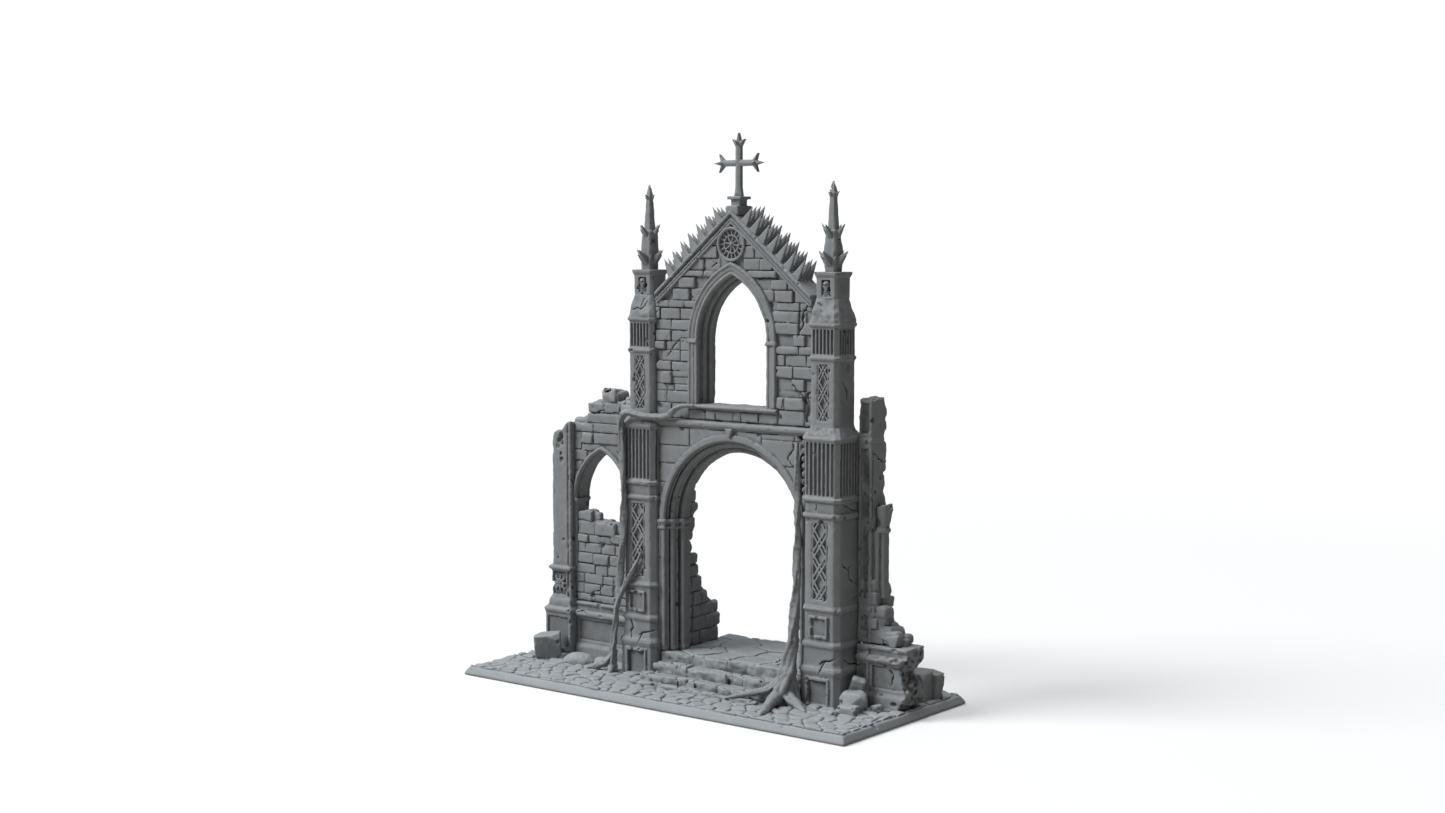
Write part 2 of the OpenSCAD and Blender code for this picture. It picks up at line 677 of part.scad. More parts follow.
module left_wing_wall() color(stone) raised() upright(wing_front, left_wing_back) difference() {
  polygon([
    [left_x0, left_wall_z], [left_x0, 105.3], [-75, 108], [-71, 109.2], [-71, 112],
    [-69, 115.8], [-66, 116.6], [-62.8, 117.4], [-61.5, 120.6], [-56, 121.6],
    [-51.2, 119.6], [-51.2, 116], [-46, 115.4], [left_x1, 116.4], [left_x1, left_wall_z]]);
  side_window(window_trim, 42);
}

module left_window_arch() color(stone) raised() union() {
  edge = window_half + window_trim;
  upright(wing_front-0.5, left_wing_back) difference() {
    side_window(window_trim, window_z-1);
    side_window(0, window_z-2);
  }
  // capital, jamb and round shaft on each side
  both_sides(window_x) {
    box(window_half-0.5, edge, wing_front-0.9, left_wing_back, window_z-1.7, window_z+0.1);
    box(window_half+0.3, edge, wing_front+0.6, left_wing_back, left_wall_z, window_z-1.6);
    translate([window_half+0.65, wing_front+0.6, left_wall_z])
      cylinder(r=1.05, h=window_z-44.6, $fn=32);
  }
}

// x, z, length, height, projection
infill_stones = [
  [-75.6, 57.6, 5.6, 3.4, 0.7], [-60.4, 50.2, 6.4, 3.4, 0.6], [-66, 46.4, 5.4, 3.4, 0.5],
  [-75, 46, 6, 3.4, 0.4], [-72, 35, 8, 3.4, 0.5], [-58, 31, 8, 3.4, 0.4],
  [-63, 38.8, 6, 3.2, 0.5]];

module left_window_infill() color(stone) raised() union() {
  x0 = window_x - window_half + 0.6;
  x1 = window_x + window_half - 0.6;
  box(left_x0, left_x1, wing_front, left_wing_back, plinth_z, left_wall_z-0.02);
  upright(wing_front-0.2, wing_front+5.2) polygon([
    [x0, 42.9], [x0, 67.4], [-69, 68.3], [-67, 67.2], [-66.7, 63.8], [-53.3, 63.6],
    [-53.3, 58.8], [-50.6, 55.2], [x1, 55], [x1, 42.9]]);
  proud_stones(infill_stones, wing_front-0.2, wing_front+3);
}

module left_end_pier() color(stone) raised() difference() {
  back = left_wing_back + 0.1;
  union() {
    box(-90, -75, -1.9, 14.4, ground, 23);
    box(-90.6, -74.9, -2.5, 15, 23, 25.2);
    box(-88.8, -76.2, -0.7, 13.8, 25.2, 29.4);
    box(-88.1, left_x0, 0.2, 13, 29.4, 41.4);
    box(-89.2, -76.2, -0.8, 14, 41.4, 43.2);
    upright(0.5, 12.8) polygon([
      [-87.6, 43.2], [left_x0, 43.2], [left_x0, 107], [-78.6, 107.2], [-80, 105.6],
      [-82.8, 104], [-85, 103.2], [-87, 101.4], [-87.6, 99.8]]);
  }
  // two front panels
  box(-86.9, -79, -1, 1.1, 30.4, 40.4);
  box(-88.4, -76.6, -3, -1.2, 8.4, 20.8);
  // room for the wing plinth, the wall and its proud stones
  box(-75.1, -73, wing_front-2.9, back, 3, plinth_z+0.1);
  box(left_x0, -70, wing_front-0.1, back, 27, 110);
  box(-77.72, -70, wing_front-1, back, left_wall_z-0.02, 78);
}

module pier_rosette() color(stone)
  translate([-82.95, 1.1, 35.4+lift]) rotate([90, 0, 0]) union() {
    for (a = [0:45:315]) rotate(a) translate([2.05, 0, 0]) cylinder(r=0.95, h=0.7, $fn=24);
    for (a = [45:90:315]) rotate(a) translate([3.9, 0, 0]) cylinder(r=0.6, h=0.5, $fn=20);
    for (a = [0:90:270]) rotate(a) translate([2, -0.3, 0]) cube([1.8, 0.6, 0.4]);
    cylinder(r=2.2, h=0.45, $fn=32);
    cylinder(r=0.9, h=1, $fn=24);
  }

// ---------- right wing ----------
right_x0 = mid + tower_offset + 9.55;   // just clear of the ledges of the right tower
right_x1 = 79.2;                        // end of the tall part of the wall
ledge_z = 46.8;                         // ledge that carries the window shaft

module right_wing_plinth() color(stone) raised() difference() {
  x0 = right_x0 + 0.8;
  union() {
    plinth_run(x0, 96.4, right_wing_back-0.6);
    box(x0, 79.6, wing_front-3.4, wing_front+1, ground, 9.4);
    box(x0, 79.6, wing_front-2.2, wing_front+1, 9.4, 24.2);
  }
  plinth_panel(81, 94);
  // broken end
  translate([96.2, 0, 0]) rotate([0, -3, 4]) box(0, 10, -12, 30, -5, 40);
}

module right_wing_wall() color(stone) raised() difference() {
  upright(wing_front, right_wing_back-0.2) polygon([
    [right_x0, plinth_z], [91.8, plinth_z], [91.6, 30.4], [87.6, 31], [87.4, 34], [83.8, 35],
    [83.6, 41], [82.4, 42], [82.2, ledge_z], [right_x1, ledge_z], [right_x1, 124.8],
    [77.8, 126], [74, 125.4], [right_x0, 125]]);
  // two front panels
  for (z = [[111.2, 123.4], [46, 105.6]])
    box(right_x0+0.9, 77.6, wing_front-1, wing_front+0.9, z[0], z[1]);
  // nicks in the right edge at the back
  for (z = [52:11:118]) translate([79.8, right_wing_back+0.3, z]) rotate([0, 20, 30])
    cube([1.6, 2.6, 6], center=true);
}

module right_window_shaft() color(stone) raised()
  translate([81.5, wing_front+5.2, 0]) difference() {
    flat_x = -2.28;          // flat side against the wall
    foot = ledge_z + 0.02;
    union() {
      translate([0, 0, foot]) cylinder(r=2.2, h=27, $fn=40);
      translate([0, 0, 72.2]) cylinder(r=3, h=1.8, $fn=40);
      translate([0, 0, 74]) cylinder(r1=2.4, r2=3.2, h=8.4, $fn=40);
      box(flat_x, 0, -3.4, 3.4, foot, 82.2);
    }
    box(-9, flat_x, -9, 9, 40, 90);
  }

// ---------- wall returning to the back on the left of the portal ----------
// ragged outline in Y and Z
return_outline = [
  [wall_back+0.02, landing_z], [27.6, landing_z], [28.4, 20], [26.8, 25], [25.6, 28.6],
  [24, 33], [19.6, 36.4], [18, 42], [13.2, 43.4], [12.2, 47], [8.6, 55.6], [8.4, 60.4],
  [12, 63.4], [12.2, 70.4], [15, 72], [14.2, 76.4], [10.6, 78], [11.2, 83], [8, 88],
  [wall_back+0.02, 90]];

module return_wall() color(stone) raised() difference() {
  translate([-19.6, 0, 0]) rotate([90, 0, 90]) linear_extrude(4.4) polygon(return_outline);
  // course joints on the right face
  for (z = [20:4.4:88]) box(-15.6, -15, wall_back+0.6, 40, z, z+0.3);
}

// ---------- growth and rubble ----------
module limb(from, to, r0, r1) {
  v = to - from;
  length = norm(v);
  aim = [0, acos(v[2]/length), atan2(v[1], v[0])];
  translate(from) rotate(aim) cylinder(r1=r0, r2=r1, h=length, $fn=8);
  translate(to) rotate(aim) sphere(r=r1*1.04, $fn=8);
}

// limbs through a list of points, with the radius at each point
module branch(points, radii) for (i = [0:len(points)-2])
  limb(points[i], points[i+1], radii[i], radii[i+1]);

module tree_root() color(stone) raised() difference() {
  union() {
    branch([[50.2, -14.2, 4.6], [50.8, -13.4, 15], [51.8, -11, 26], [52.3, -9, 44],
            [52.6, -8.3, 62], [52.6, -8.2, 80], [52.3, -8.3, 94], [51.4, -7.9, 105]],
           [4.4, 3.3, 2.1, 1.5, 1.25, 1.2, 1.05, 0.7]);
    branch([[50.2, -14.2, 6.5], [52.6, -24, 5.6], [55.6, -37, 4.3]], [3.4, 2.2, 0.9]);
    branch([[50.2, -14.4, 7.5], [57.6, -17, 6.6], [66, -21.8, 4.5]], [3, 1.9, 0.8]);
  }
  // trimmed to the slab, the steps and the landing
  box(20, 80, -60, 0, -10, ground);
  box(20, 80, -13.35, 0, -10, 11.6);
  box(20, 50.2, -14.3, 0, 3, landing_z+0.3);
  box(20, 46, -60, 0, 3, 7.9);
}

module ivy_vine() color(stone) raised() difference() {
  union() {
    branch([[-44, -15.4, 4.3], [-42.2, -13.4, 12], [-40.6, -12, 28], [-38.4, -11.6, 44],
            [-37.4, -11.4, 62], [-37.3, -11.4, 80], [-37.6, -11.4, 98], [-37, -11.2, 112]],
           [1.7, 1.3, 1.1, 1.0, 0.9, 0.9, 0.85, 0.8]);
    branch([[-40.6, -12, 28], [-35.6, -11.6, 41], [-26.6, -11.4, 57]], [0.9, 0.85, 0.5]);
    branch([[-37, -11.2, 112], [-33.4, -10.6, 116.2], [-22, -8.6, 114.4], [-12, -7.9, 115],
            [-4, -7.6, 116.2]],
           [0.8, 0.9, 0.95, 0.85, 0.5]);
  }
  box(-80, 20, -60, 0, -10, ground);
}

// x, y, half length, half width, height, turn, scale at the top
boulders = [
  [-82.6, -8.4, 5.3, 2.8, 8.8, 38, 0.95], [-67, -8.2, 7.4, 3.6, 3.4, 14, 0.82],
  [-58.6, -5.4, 4.2, 2.2, 2.6, -22, 0.8], [-77.4, -5.2, 2.8, 2, 2.4, 30, 0.8],
  [77.6, -5.4, 3.6, 4.2, 9.4, 24, 0.66], [80.4, -12.2, 4.6, 3, 3.2, -12, 0.82],
  [87.2, -3.8, 2.2, 1.8, 3, 18, 0.8], [75.8, -17.6, 2.4, 1.6, 1.8, -30, 0.8],
  [89.4, 22.4, 4.4, 4.8, 12.4, 8, 0.8], [92, 29.6, 3.6, 2.4, 11.2, -6, 0.8],
  [-47.6, -6, 2.2, 1.4, 2.2, 10, 0.8]];

module loose_rubble() color(stone) raised() for (row = boulders) {
  a = row[2];
  b = row[3];
  translate([row[0], row[1], ground]) rotate([0, 0, row[5]])
    linear_extrude(row[4], scale=row[6]) polygon([
      [-a, -b*0.6], [-a*0.7, -b], [a*0.6, -b], [a, -b*0.4],
      [a*0.9, b*0.7], [a*0.5, b], [-a*0.6, b*0.9], [-a, b*0.4]]);
}

base_slab();
cobble_paving();
landing_floor();
step_upper();
step_middle();
step_lower();
tower_plinth_left();
tower_plinth_right();
tower_pedestal_left();
tower_pedestal_right();
tower_shaft_lower_left();
tower_shaft_lower_right();
tower_frieze_lower_left();
tower_frieze_lower_right();
tower_shaft_upper_left();
tower_shaft_upper_right();
tower_frieze_upper_left();
tower_frieze_upper_right();
niche_block_left();
niche_block_right();
tower_cap_left();
tower_cap_right();
spire_left();
spire_right();
spire_thorns();
niche_skulls();
lattice_panels_lower();
lattice_panels_upper();
portal_jamb_left();
portal_jamb_right();
portal_imposts();
portal_arch_outer();
portal_arch_middle();
portal_arch_inner();
portal_spandrel_wall();
cornice();
gable_wall();
lancet_frame();
lancet_reveal();
lancet_sill();
rose_medallion();
gable_coping();
crest_spikes();
apex_pedestal();
cross_finial();
left_wing_plinth();
left_wing_wall();
left_window_arch();
left_window_infill();
left_end_pier();
pier_rosette();
right_wing_plinth();
right_wing_wall();
right_window_shaft();
return_wall();
tree_root();
ivy_vine();
loose_rubble();
locating_pegs();
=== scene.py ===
"""Cast resin ruin: a gothic gateway with two towers and broken wings on a cobbled base.

x runs along the front, the front looks towards -y and z is up from the underside of the base.
Pieces are modelled in millimetres as signed distance fields, then meshed and scaled to metres.
"""
import math
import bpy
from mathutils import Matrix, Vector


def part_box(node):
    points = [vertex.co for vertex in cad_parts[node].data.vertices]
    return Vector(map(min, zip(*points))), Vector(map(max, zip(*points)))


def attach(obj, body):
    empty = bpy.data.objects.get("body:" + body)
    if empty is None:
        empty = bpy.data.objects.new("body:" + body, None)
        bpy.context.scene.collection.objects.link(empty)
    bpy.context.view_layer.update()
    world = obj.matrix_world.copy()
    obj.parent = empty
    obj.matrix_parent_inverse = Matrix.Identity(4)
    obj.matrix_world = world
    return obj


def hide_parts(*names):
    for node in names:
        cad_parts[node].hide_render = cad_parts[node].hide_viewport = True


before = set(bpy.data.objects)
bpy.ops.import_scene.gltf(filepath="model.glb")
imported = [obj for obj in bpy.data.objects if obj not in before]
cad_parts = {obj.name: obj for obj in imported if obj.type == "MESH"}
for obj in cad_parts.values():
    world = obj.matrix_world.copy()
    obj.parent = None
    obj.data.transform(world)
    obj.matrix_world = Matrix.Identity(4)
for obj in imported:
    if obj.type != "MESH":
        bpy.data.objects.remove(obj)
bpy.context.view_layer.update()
from copy import copy
from functools import lru_cache, reduce

import bpy
import numpy as np
import openvdb
from mathutils import Vector

f32 = np.float32

# main dimensions
MID_X = 16.8  # centre line of the portal and gable
TOWER_REACH = 46.8  # from the centre line to each tower's axis
TOWER_Y = -0.5
BASE_TOP = 3.7

# ------------------------------------------------------------------ noise
NOISE_LOW = np.array([-114.0, -58.0, -8.0])
NOISE_HIGH = np.array([114.0, 58.0, 244.0])


@lru_cache(maxsize=14)
def lattice(scale, seed):
    """Random values on one world lattice, so that neighbouring pieces match."""
    count = np.ceil((NOISE_HIGH - NOISE_LOW) / scale).astype(int) + 5
    rng = np.random.RandomState(seed * 977 + int(scale * 100))
    return rng.uniform(-1, 1, count).astype(f32)


def spline_weights(axis, low, scale):
    """Cubic B-spline matrix from lattice values to axis positions, and its lattice slice."""
    place = (axis.astype(np.float64) - low) / scale + 1.0
    cell = np.floor(place).astype(int)
    t = place - cell
    weights = ((1 - t) ** 3 / 6, (3 * t ** 3 - 6 * t * t + 4) / 6,
               (-3 * t ** 3 + 3 * t * t + 3 * t + 1) / 6, t ** 3 / 6)
    first, last = cell.min() - 1, cell.max() + 3
    matrix = np.zeros((len(axis), last - first), f32)
    rows = np.arange(len(axis))
    for k in range(4):
        matrix[rows, cell - 1 + k - first] += weights[k]
    return matrix, slice(first, last)


def noise3(axes, scale, seed):
    """Smooth noise, about -1..1, on the axes (x, y, z). scale may be a triple."""
    scales = scale if np.ndim(scale) else (scale,) * 3
    fine = min(scales)
    (along_x, sx), (along_y, sy), (along_z, sz) = [
        spline_weights(axis * (fine / size) + low * (1 - fine / size), low, fine)
        for axis, size, low in zip(axes, scales, NOISE_LOW)]
    values = lattice(fine, seed)[sx, sy, sz]
    values = np.tensordot(along_x, values, (1, 0))
    values = np.matmul(along_y, values)
    return np.matmul(values, along_z.T) * f32(2.5)


def smoothstep(start, end, value):
    t = np.clip((value - start) / (end - start), 0, 1)
    return t * t * (3 - 2 * t)


# ------------------------------------------------------------------ grid
class Grid:
    """Signed distances, negative inside, on a regular grid."""

    def __init__(self, low, high, step):
        low = np.array(low, float) - 3.3 * step
        high = np.array(high, float) + 3.3 * step
        self.step = step
        self.start = np.floor(low / step).astype(int)
        ends = np.ceil(high / step).astype(int)
        self.axes = [(np.arange(a, b + 1) * step).astype(f32) for a, b in zip(self.start, ends)]
        self.dist = np.full([len(axis) for axis in self.axes], 4, f32)

    def coords(self, window=(slice(None),) * 3):
        xs, ys, zs = [axis[part] for axis, part in zip(self.axes, window)]
        return xs[:, None, None], ys[None, :, None], zs[None, None, :]

    def point(self, index):
        return np.array([axis[k] for axis, k in zip(self.axes, index)], float)

    def sampled(self, shapes, margin):
        """Window and distances of every shape that reaches the grid."""
        for field, low, high in shapes:
            window = tuple(
                slice(int(np.searchsorted(axis, a - 1e-4)),
                      int(np.searchsorted(axis, b + 1e-4, "right")))
                for axis, a, b in zip(self.axes, np.array(low) - margin, np.array(high) + margin))
            if all(part.stop > part.start for part in window):
                yield window, field(*self.coords(window)).astype(f32)

    def add(self, *shapes, blend=0.0):
        for window, new in self.sampled(shapes, self.step * 2 + blend):
            old = self.dist[window]
            if blend:
                near = np.maximum(blend - np.abs(old - new), 0) / blend
                self.dist[window] = np.minimum(old, new) - near * near * blend * 0.25
            else:
                self.dist[window] = np.minimum(old, new)

    def cut(self, *shapes):
        for window, new in self.sampled(shapes, self.step * 2):
            self.dist[window] = np.maximum(self.dist[window], -new)

    def clip(self, *fields):
        """Keep only what is negative in every field."""
        for field in fields:
            self.dist = np.maximum(self.dist, field.astype(f32))

    def fill(self, field, *limits):
        self.dist = field.astype(f32)
        self.clip(*limits)

    def noise(self, scale, seed):
        return noise3(self.axes, scale, seed)

    def flat_noise(self, scale, seed):
        """A level slice of the noise over x and y."""
        return noise3((*self.axes[:2], np.array([4.0])), scale, seed)[:, :, 0]

    def profile(self, heights, values):
        """Values read off at every grid height."""
        return np.interp(self.axes[2], heights, values).astype(f32)[None, None, :]


def new_grid(low, high, step):
    """A grid, then its x, y and z coordinates."""
    grid = Grid(low, high, step)
    return grid, *grid.coords()


def node_box(node):
    return [np.array(corner) * 1000 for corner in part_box(node)]


def node_grid(node, step, pad=(0, 0, 0)):
    low, high = node_box(node)
    return new_grid(low - pad, high + pad, step)


# ------------------------------------------------------------------ shapes: (field, low, high)
def join(*fields):
    return reduce(np.minimum, fields)


def meet(*fields):
    return reduce(np.maximum, fields)


def corner(a, b, r):
    """Two distances, each already grown by r, met with a rounded corner."""
    outside = np.sqrt(np.maximum(a, 0) ** 2 + np.maximum(b, 0) ** 2)
    return np.minimum(np.maximum(a, b), 0) + outside - r


def rot(ax=0.0, ay=0.0, az=0.0):
    """Matrix that turns by degrees about x, then y, then z."""
    a, b, c = [math.radians(angle) for angle in (ax, ay, az)]
    about_x = [[1, 0, 0], [0, math.cos(a), -math.sin(a)], [0, math.sin(a), math.cos(a)]]
    about_y = [[math.cos(b), 0, math.sin(b)], [0, 1, 0], [-math.sin(b), 0, math.cos(b)]]
    about_z = [[math.cos(c), -math.sin(c), 0], [math.sin(c), math.cos(c), 0], [0, 0, 1]]
    return np.array(about_z) @ np.array(about_y) @ np.array(about_x)


def local(X, Y, Z, centre, turn):
    """Coordinates in the frame of a shape."""
    X, Y, Z = X - centre[0], Y - centre[1], Z - centre[2]
    if turn is None:
        return X, Y, Z
    return [turn[0][k] * X + turn[1][k] * Y + turn[2][k] * Z for k in range(3)]


def box(x0, x1, y0, y1, z0, z1, r=0.2, turn=None):
    """Rounded box; the x and y limits may come in either order."""
    (x0, x1), (y0, y1) = sorted((x0, x1)), sorted((y0, y1))
    centre = np.array([(x0 + x1) / 2, (y0 + y1) / 2, (z0 + z1) / 2])
    half = np.array([x1 - x0, y1 - y0, z1 - z0]) / 2 - r

    def field(X, Y, Z):
        X, Y, Z = local(X, Y, Z, centre, turn)
        qx, qy, qz = np.abs(X) - half[0], np.abs(Y) - half[1], np.abs(Z) - half[2]
        outside = np.sqrt(np.maximum(qx, 0) ** 2 + np.maximum(qy, 0) ** 2 + np.maximum(qz, 0) ** 2)
        return outside + np.minimum(meet(qx, qy, qz), 0) - r

    if turn is None:
        return field, (x0, y0, z0), (x1, y1, z1)
    reach = np.linalg.norm(half + r)
    return field, centre - reach, centre + reach


def box_at(centre, half, r, turn):
    (x, y, z), (a, b, c) = centre, half
    return box(x - a, x + a, y - b, y + b, z - c, z + c, r, turn)


def capsule(start, end, r0, r1=None, squash=(1, 1, 1)):
    """Tapered capsule; squash scales distances per axis, so below 1 it reaches further."""
    start, end = np.array(start, float), np.array(end, float)
    r1 = r0 if r1 is None else r1
    squash = np.array(squash, float)
    origin = start * squash
    run = end * squash - origin
    length2 = max(float(run @ run), 1e-9)

    def field(X, Y, Z):
        x, y, z = [axis * squash[k] - origin[k] for k, axis in enumerate((X, Y, Z))]
        t = np.clip((x * run[0] + y * run[1] + z * run[2]) / length2, 0, 1)
        away = (x - t * run[0]) ** 2 + (y - t * run[1]) ** 2 + (z - t * run[2]) ** 2
        return np.sqrt(away) - (r0 + (r1 - r0) * t)

    reach = max(r0, r1) / squash
    return field, np.minimum(start, end) - reach, np.maximum(start, end) + reach


def ellipsoid(centre, radii, turn=None):
    centre, radii = np.array(centre, float), np.array(radii, float)

    def field(X, Y, Z):
        X, Y, Z = local(X, Y, Z, centre, turn)
        k = np.sqrt((X / radii[0]) ** 2 + (Y / radii[1]) ** 2 + (Z / radii[2]) ** 2)
        return (k - 1) * radii.min()

    reach = radii if turn is None else radii.max()
    return field, centre - reach, centre + reach


def polygon(points, U, V):
    """Signed distance to a polygon, negative inside."""
    square, inside = np.inf, False
    for i in range(len(points)):
        (u0, v0), (u1, v1) = points[i], points[i - 1]
        eu, ev = u1 - u0, v1 - v0
        wu, wv = U - u0, V - v0
        t = np.clip((wu * eu + wv * ev) / max(eu * eu + ev * ev, 1e-12), 0, 1)
        square = np.minimum(square, (wu - eu * t) ** 2 + (wv - ev * t) ** 2)
        above, below, left = V >= v0, V < v1, eu * wv > ev * wu
        inside = inside ^ ((above & below & left) | (~above & ~below & ~left))
    return np.where(inside, -np.sqrt(square), np.sqrt(square))


def prism(points, x0, x1, r=0.12):
    """A (y, z) outline swept along x."""
    points = np.array(points, float)

    def field(X, Y, Z):
        return corner(polygon(points, Y, Z) + r, np.abs(X - (x0 + x1) / 2) - (x1 - x0) / 2 + r, r)

    return field, (x0, *points.min(0)), (x1, *points.max(0))


def solid(faces, points):
    """Convex solid from corner points and faces listed by index."""
    points = np.array(points, float)
    centre = points.mean(0)
    planes = []
    for face in faces:
        a, b, c = points[list(face)]
        n = np.cross(b - a, c - a)
        n /= np.linalg.norm(n)
        if n @ (centre - a) > 0:
            n = -n
        planes.append((n, n @ a))

    def field(X, Y, Z):
        return meet(*[n[0] * X + n[1] * Y + n[2] * Z - d for n, d in planes])

    return field, points.min(0), points.max(0)


def spike(base, tip):
    """Four sided pyramid."""
    return solid([(0, 1, 2), (0, 1, 4), (1, 2, 4), (2, 3, 4), (3, 0, 4)], [*base, tip])


def roll(D, Y, d0, y0, r):
    """Round bead along a line, D away from an outline and at depth y0."""
    return np.sqrt((D - d0) ** 2 + (Y - y0) ** 2) - r


def bar(D, Y, d0, d1, y0, y1, r=0.15):
    a = np.abs(D - (d0 + d1) / 2) - (d1 - d0) / 2 + r
    b = np.abs(Y - (y0 + y1) / 2) - (y1 - y0) / 2 + r
    return corner(a, b, r)


def moulding(D, Y, parts):
    """Cross section in (D, y): bars and rolls are added, coves cut away, in order."""
    dist = np.inf
    for kind, *size in parts:
        part = (bar if kind == "bar" else roll)(D, Y, *size)
        dist = np.maximum(dist, -part) if kind == "cove" else np.minimum(dist, part)
    return dist


def pointed(X, Z, half, radius, centre, spring):
    """Distance outward from a pointed arch of clear half width and arc radius."""
    c = radius - half
    rise = Z - spring
    up = np.maximum(np.sqrt((X - (centre - c)) ** 2 + rise ** 2),
                    np.sqrt((X - (centre + c)) ** 2 + rise ** 2)) - radius
    return np.where(Z > spring, up, np.abs(X - centre) - half)


def polar(X, Z, x, z):
    return np.sqrt((X - x) ** 2 + (Z - z) ** 2), np.arctan2(Z - z, X - x)


def sector(angle, count, offset=0.0):
    """Angle folded into one of count equal sectors."""
    return np.mod(angle + offset + math.pi / count, 2 * math.pi / count) - math.pi / count


def blur(dist, k):
    """Mean over 2k + 1 cells along every axis."""
    for ax in range(3):
        pad = [(k + 1, k) if a == ax else (0, 0) for a in range(3)]
        total = np.cumsum(np.pad(dist, pad, mode="edge"), axis=ax, dtype=f32)
        count = dist.shape[ax]
        ahead, behind = [slice(None)] * 3, [slice(None)] * 3
        ahead[ax] = slice(2 * k + 1, 2 * k + 1 + count)
        behind[ax] = slice(0, count)
        dist = (total[tuple(ahead)] - total[tuple(behind)]) / f32(2 * k + 1)
    return dist


# ------------------------------------------------------------------ resin materials
def resin(name, colour, deepest_painted_shade=0.5, bump=0.25):
    """Matt cast resin with painted shade in crevices and broad sunken areas, and a faint painted
    highlight on sharp edges. The third argument sets the painted shade in the tightest crevices.
    """
    material = bpy.data.materials.new(name)
    material.use_nodes = True
    nodes, links = material.node_tree.nodes, material.node_tree.links
    shader = nodes["Principled BSDF"]
    place = nodes.new("ShaderNodeTexCoord")

    def cloud(scale, detail, rough=0.6):
        node = nodes.new("ShaderNodeTexNoise")
        node.inputs["Scale"].default_value = scale
        node.inputs["Detail"].default_value = detail
        node.inputs["Roughness"].default_value = rough
        links.new(place.outputs["Object"], node.inputs["Vector"])
        return node.outputs["Fac"]

    def ramp(source, start, end):
        """Map range between two (input, output) pairs."""
        node = nodes.new("ShaderNodeMapRange")
        values = (("From Min", start[0]), ("From Max", end[0]),
                  ("To Min", start[1]), ("To Max", end[1]))
        for label, value in values:
            node.inputs[label].default_value = value
        links.new(source, node.inputs["Value"])
        return node.outputs["Result"]

    def times(a, b):
        node = nodes.new("ShaderNodeMath")
        node.operation = "MULTIPLY"
        links.new(a, node.inputs[0])
        links.new(b, node.inputs[1])
        return node.outputs[0]

    def attribute(label):
        node = nodes.new("ShaderNodeAttribute")
        node.attribute_name = label
        return node.outputs["Fac"]

    # cav and cav2 measure how sunken or sharp the surface is, at a fine and a broad scale; below
    # they drive painted shade and a painted highlight
    fine, broad = attribute("cav"), attribute("cav2")
    # painted shade: the tightest crevices are darkened, standing in for light that does not reach
    # them
    painted_crevice_shade = ramp(fine, start=(-0.22, deepest_painted_shade), end=(0.02, 1.0))
    # painted highlight: sharp convex edges are made a little lighter
    edges = ramp(fine, start=(0.1, 1.0), end=(0.5, 1.03))
    # painted shade: broad sunken areas are darkened, standing in for light that does not reach
    # them
    painted_recess_shade = ramp(broad, start=(-0.9, 0.62), end=(0.15, 1.0))
    patches = ramp(cloud(scale=140, detail=6), start=(0.3, 0.93), end=(0.7, 1.06))
    grain = ramp(cloud(scale=1500, detail=3), start=(0.3, 0.97), end=(0.7, 1.03))
    # painted light (crevice shade, sunken-area shade, edge highlight) times random tone patches
    # and grain
    shade = times(times(times(painted_crevice_shade, edges), painted_recess_shade), times(patches, grain))
    tint = nodes.new("ShaderNodeVectorMath")
    tint.operation = "SCALE"
    tint.inputs[0].default_value = colour
    links.new(shade, tint.inputs["Scale"])
    links.new(tint.outputs[0], shader.inputs["Base Color"])
    dull = ramp(cloud(scale=420, detail=5), start=(0.3, 0.62), end=(0.7, 0.86))
    links.new(dull, shader.inputs["Roughness"])
    shader.inputs["Specular IOR Level"].default_value = 0.28
    relief = nodes.new("ShaderNodeBump")
    relief.inputs["Strength"].default_value = bump
    relief.inputs["Distance"].default_value = 0.00025
    links.new(cloud(scale=900, detail=6, rough=0.7), relief.inputs["Height"])
    links.new(relief.outputs["Normal"], shader.inputs["Normal"])
    return material


STONE = resin("stone_resin", colour=(0.235, 0.245, 0.255))
GROUND = resin("ground_resin", colour=(0.268, 0.283, 0.295), deepest_painted_shade=0.48)
GROWTH = resin("growth_resin", colour=(0.232, 0.242, 0.25), bump=0.3)
PEG = resin("peg_resin", colour=(0.42, 0.38, 0.28), deepest_painted_shade=1.0)

# ------------------------------------------------------------------ meshing
PIECES = []  # (object, node it replaces, slot)


def islands(count, edges):
    """Lowest vertex index of the island each vertex belongs to."""
    parent = np.arange(count)
    while True:
        a, b = parent[edges[:, 0]], parent[edges[:, 1]]
        apart = a != b
        if not apart.any():
            return parent
        a, b = a[apart], b[apart]
        np.minimum.at(parent, np.maximum(a, b), np.minimum(a, b))
        while True:
            above = parent[parent]
            if (above == parent).all():
                break
            parent = above


def sample(volume, points):
    """Trilinear lookup at points given in cells."""
    i = np.clip(np.floor(points).astype(int), 0, np.array(volume.shape) - 2)
    f = (points - i).astype(f32)
    total = 0
    for dx in (0, 1):
        for dy in (0, 1):
            for dz in (0, 1):
                weight = ((f[:, 0] if dx else 1 - f[:, 0]) * (f[:, 1] if dy else 1 - f[:, 1])
                          * (f[:, 2] if dz else 1 - f[:, 2]))
                total = total + volume[i[:, 0] + dx, i[:, 1] + dy, i[:, 2] + dz] * weight
    return total


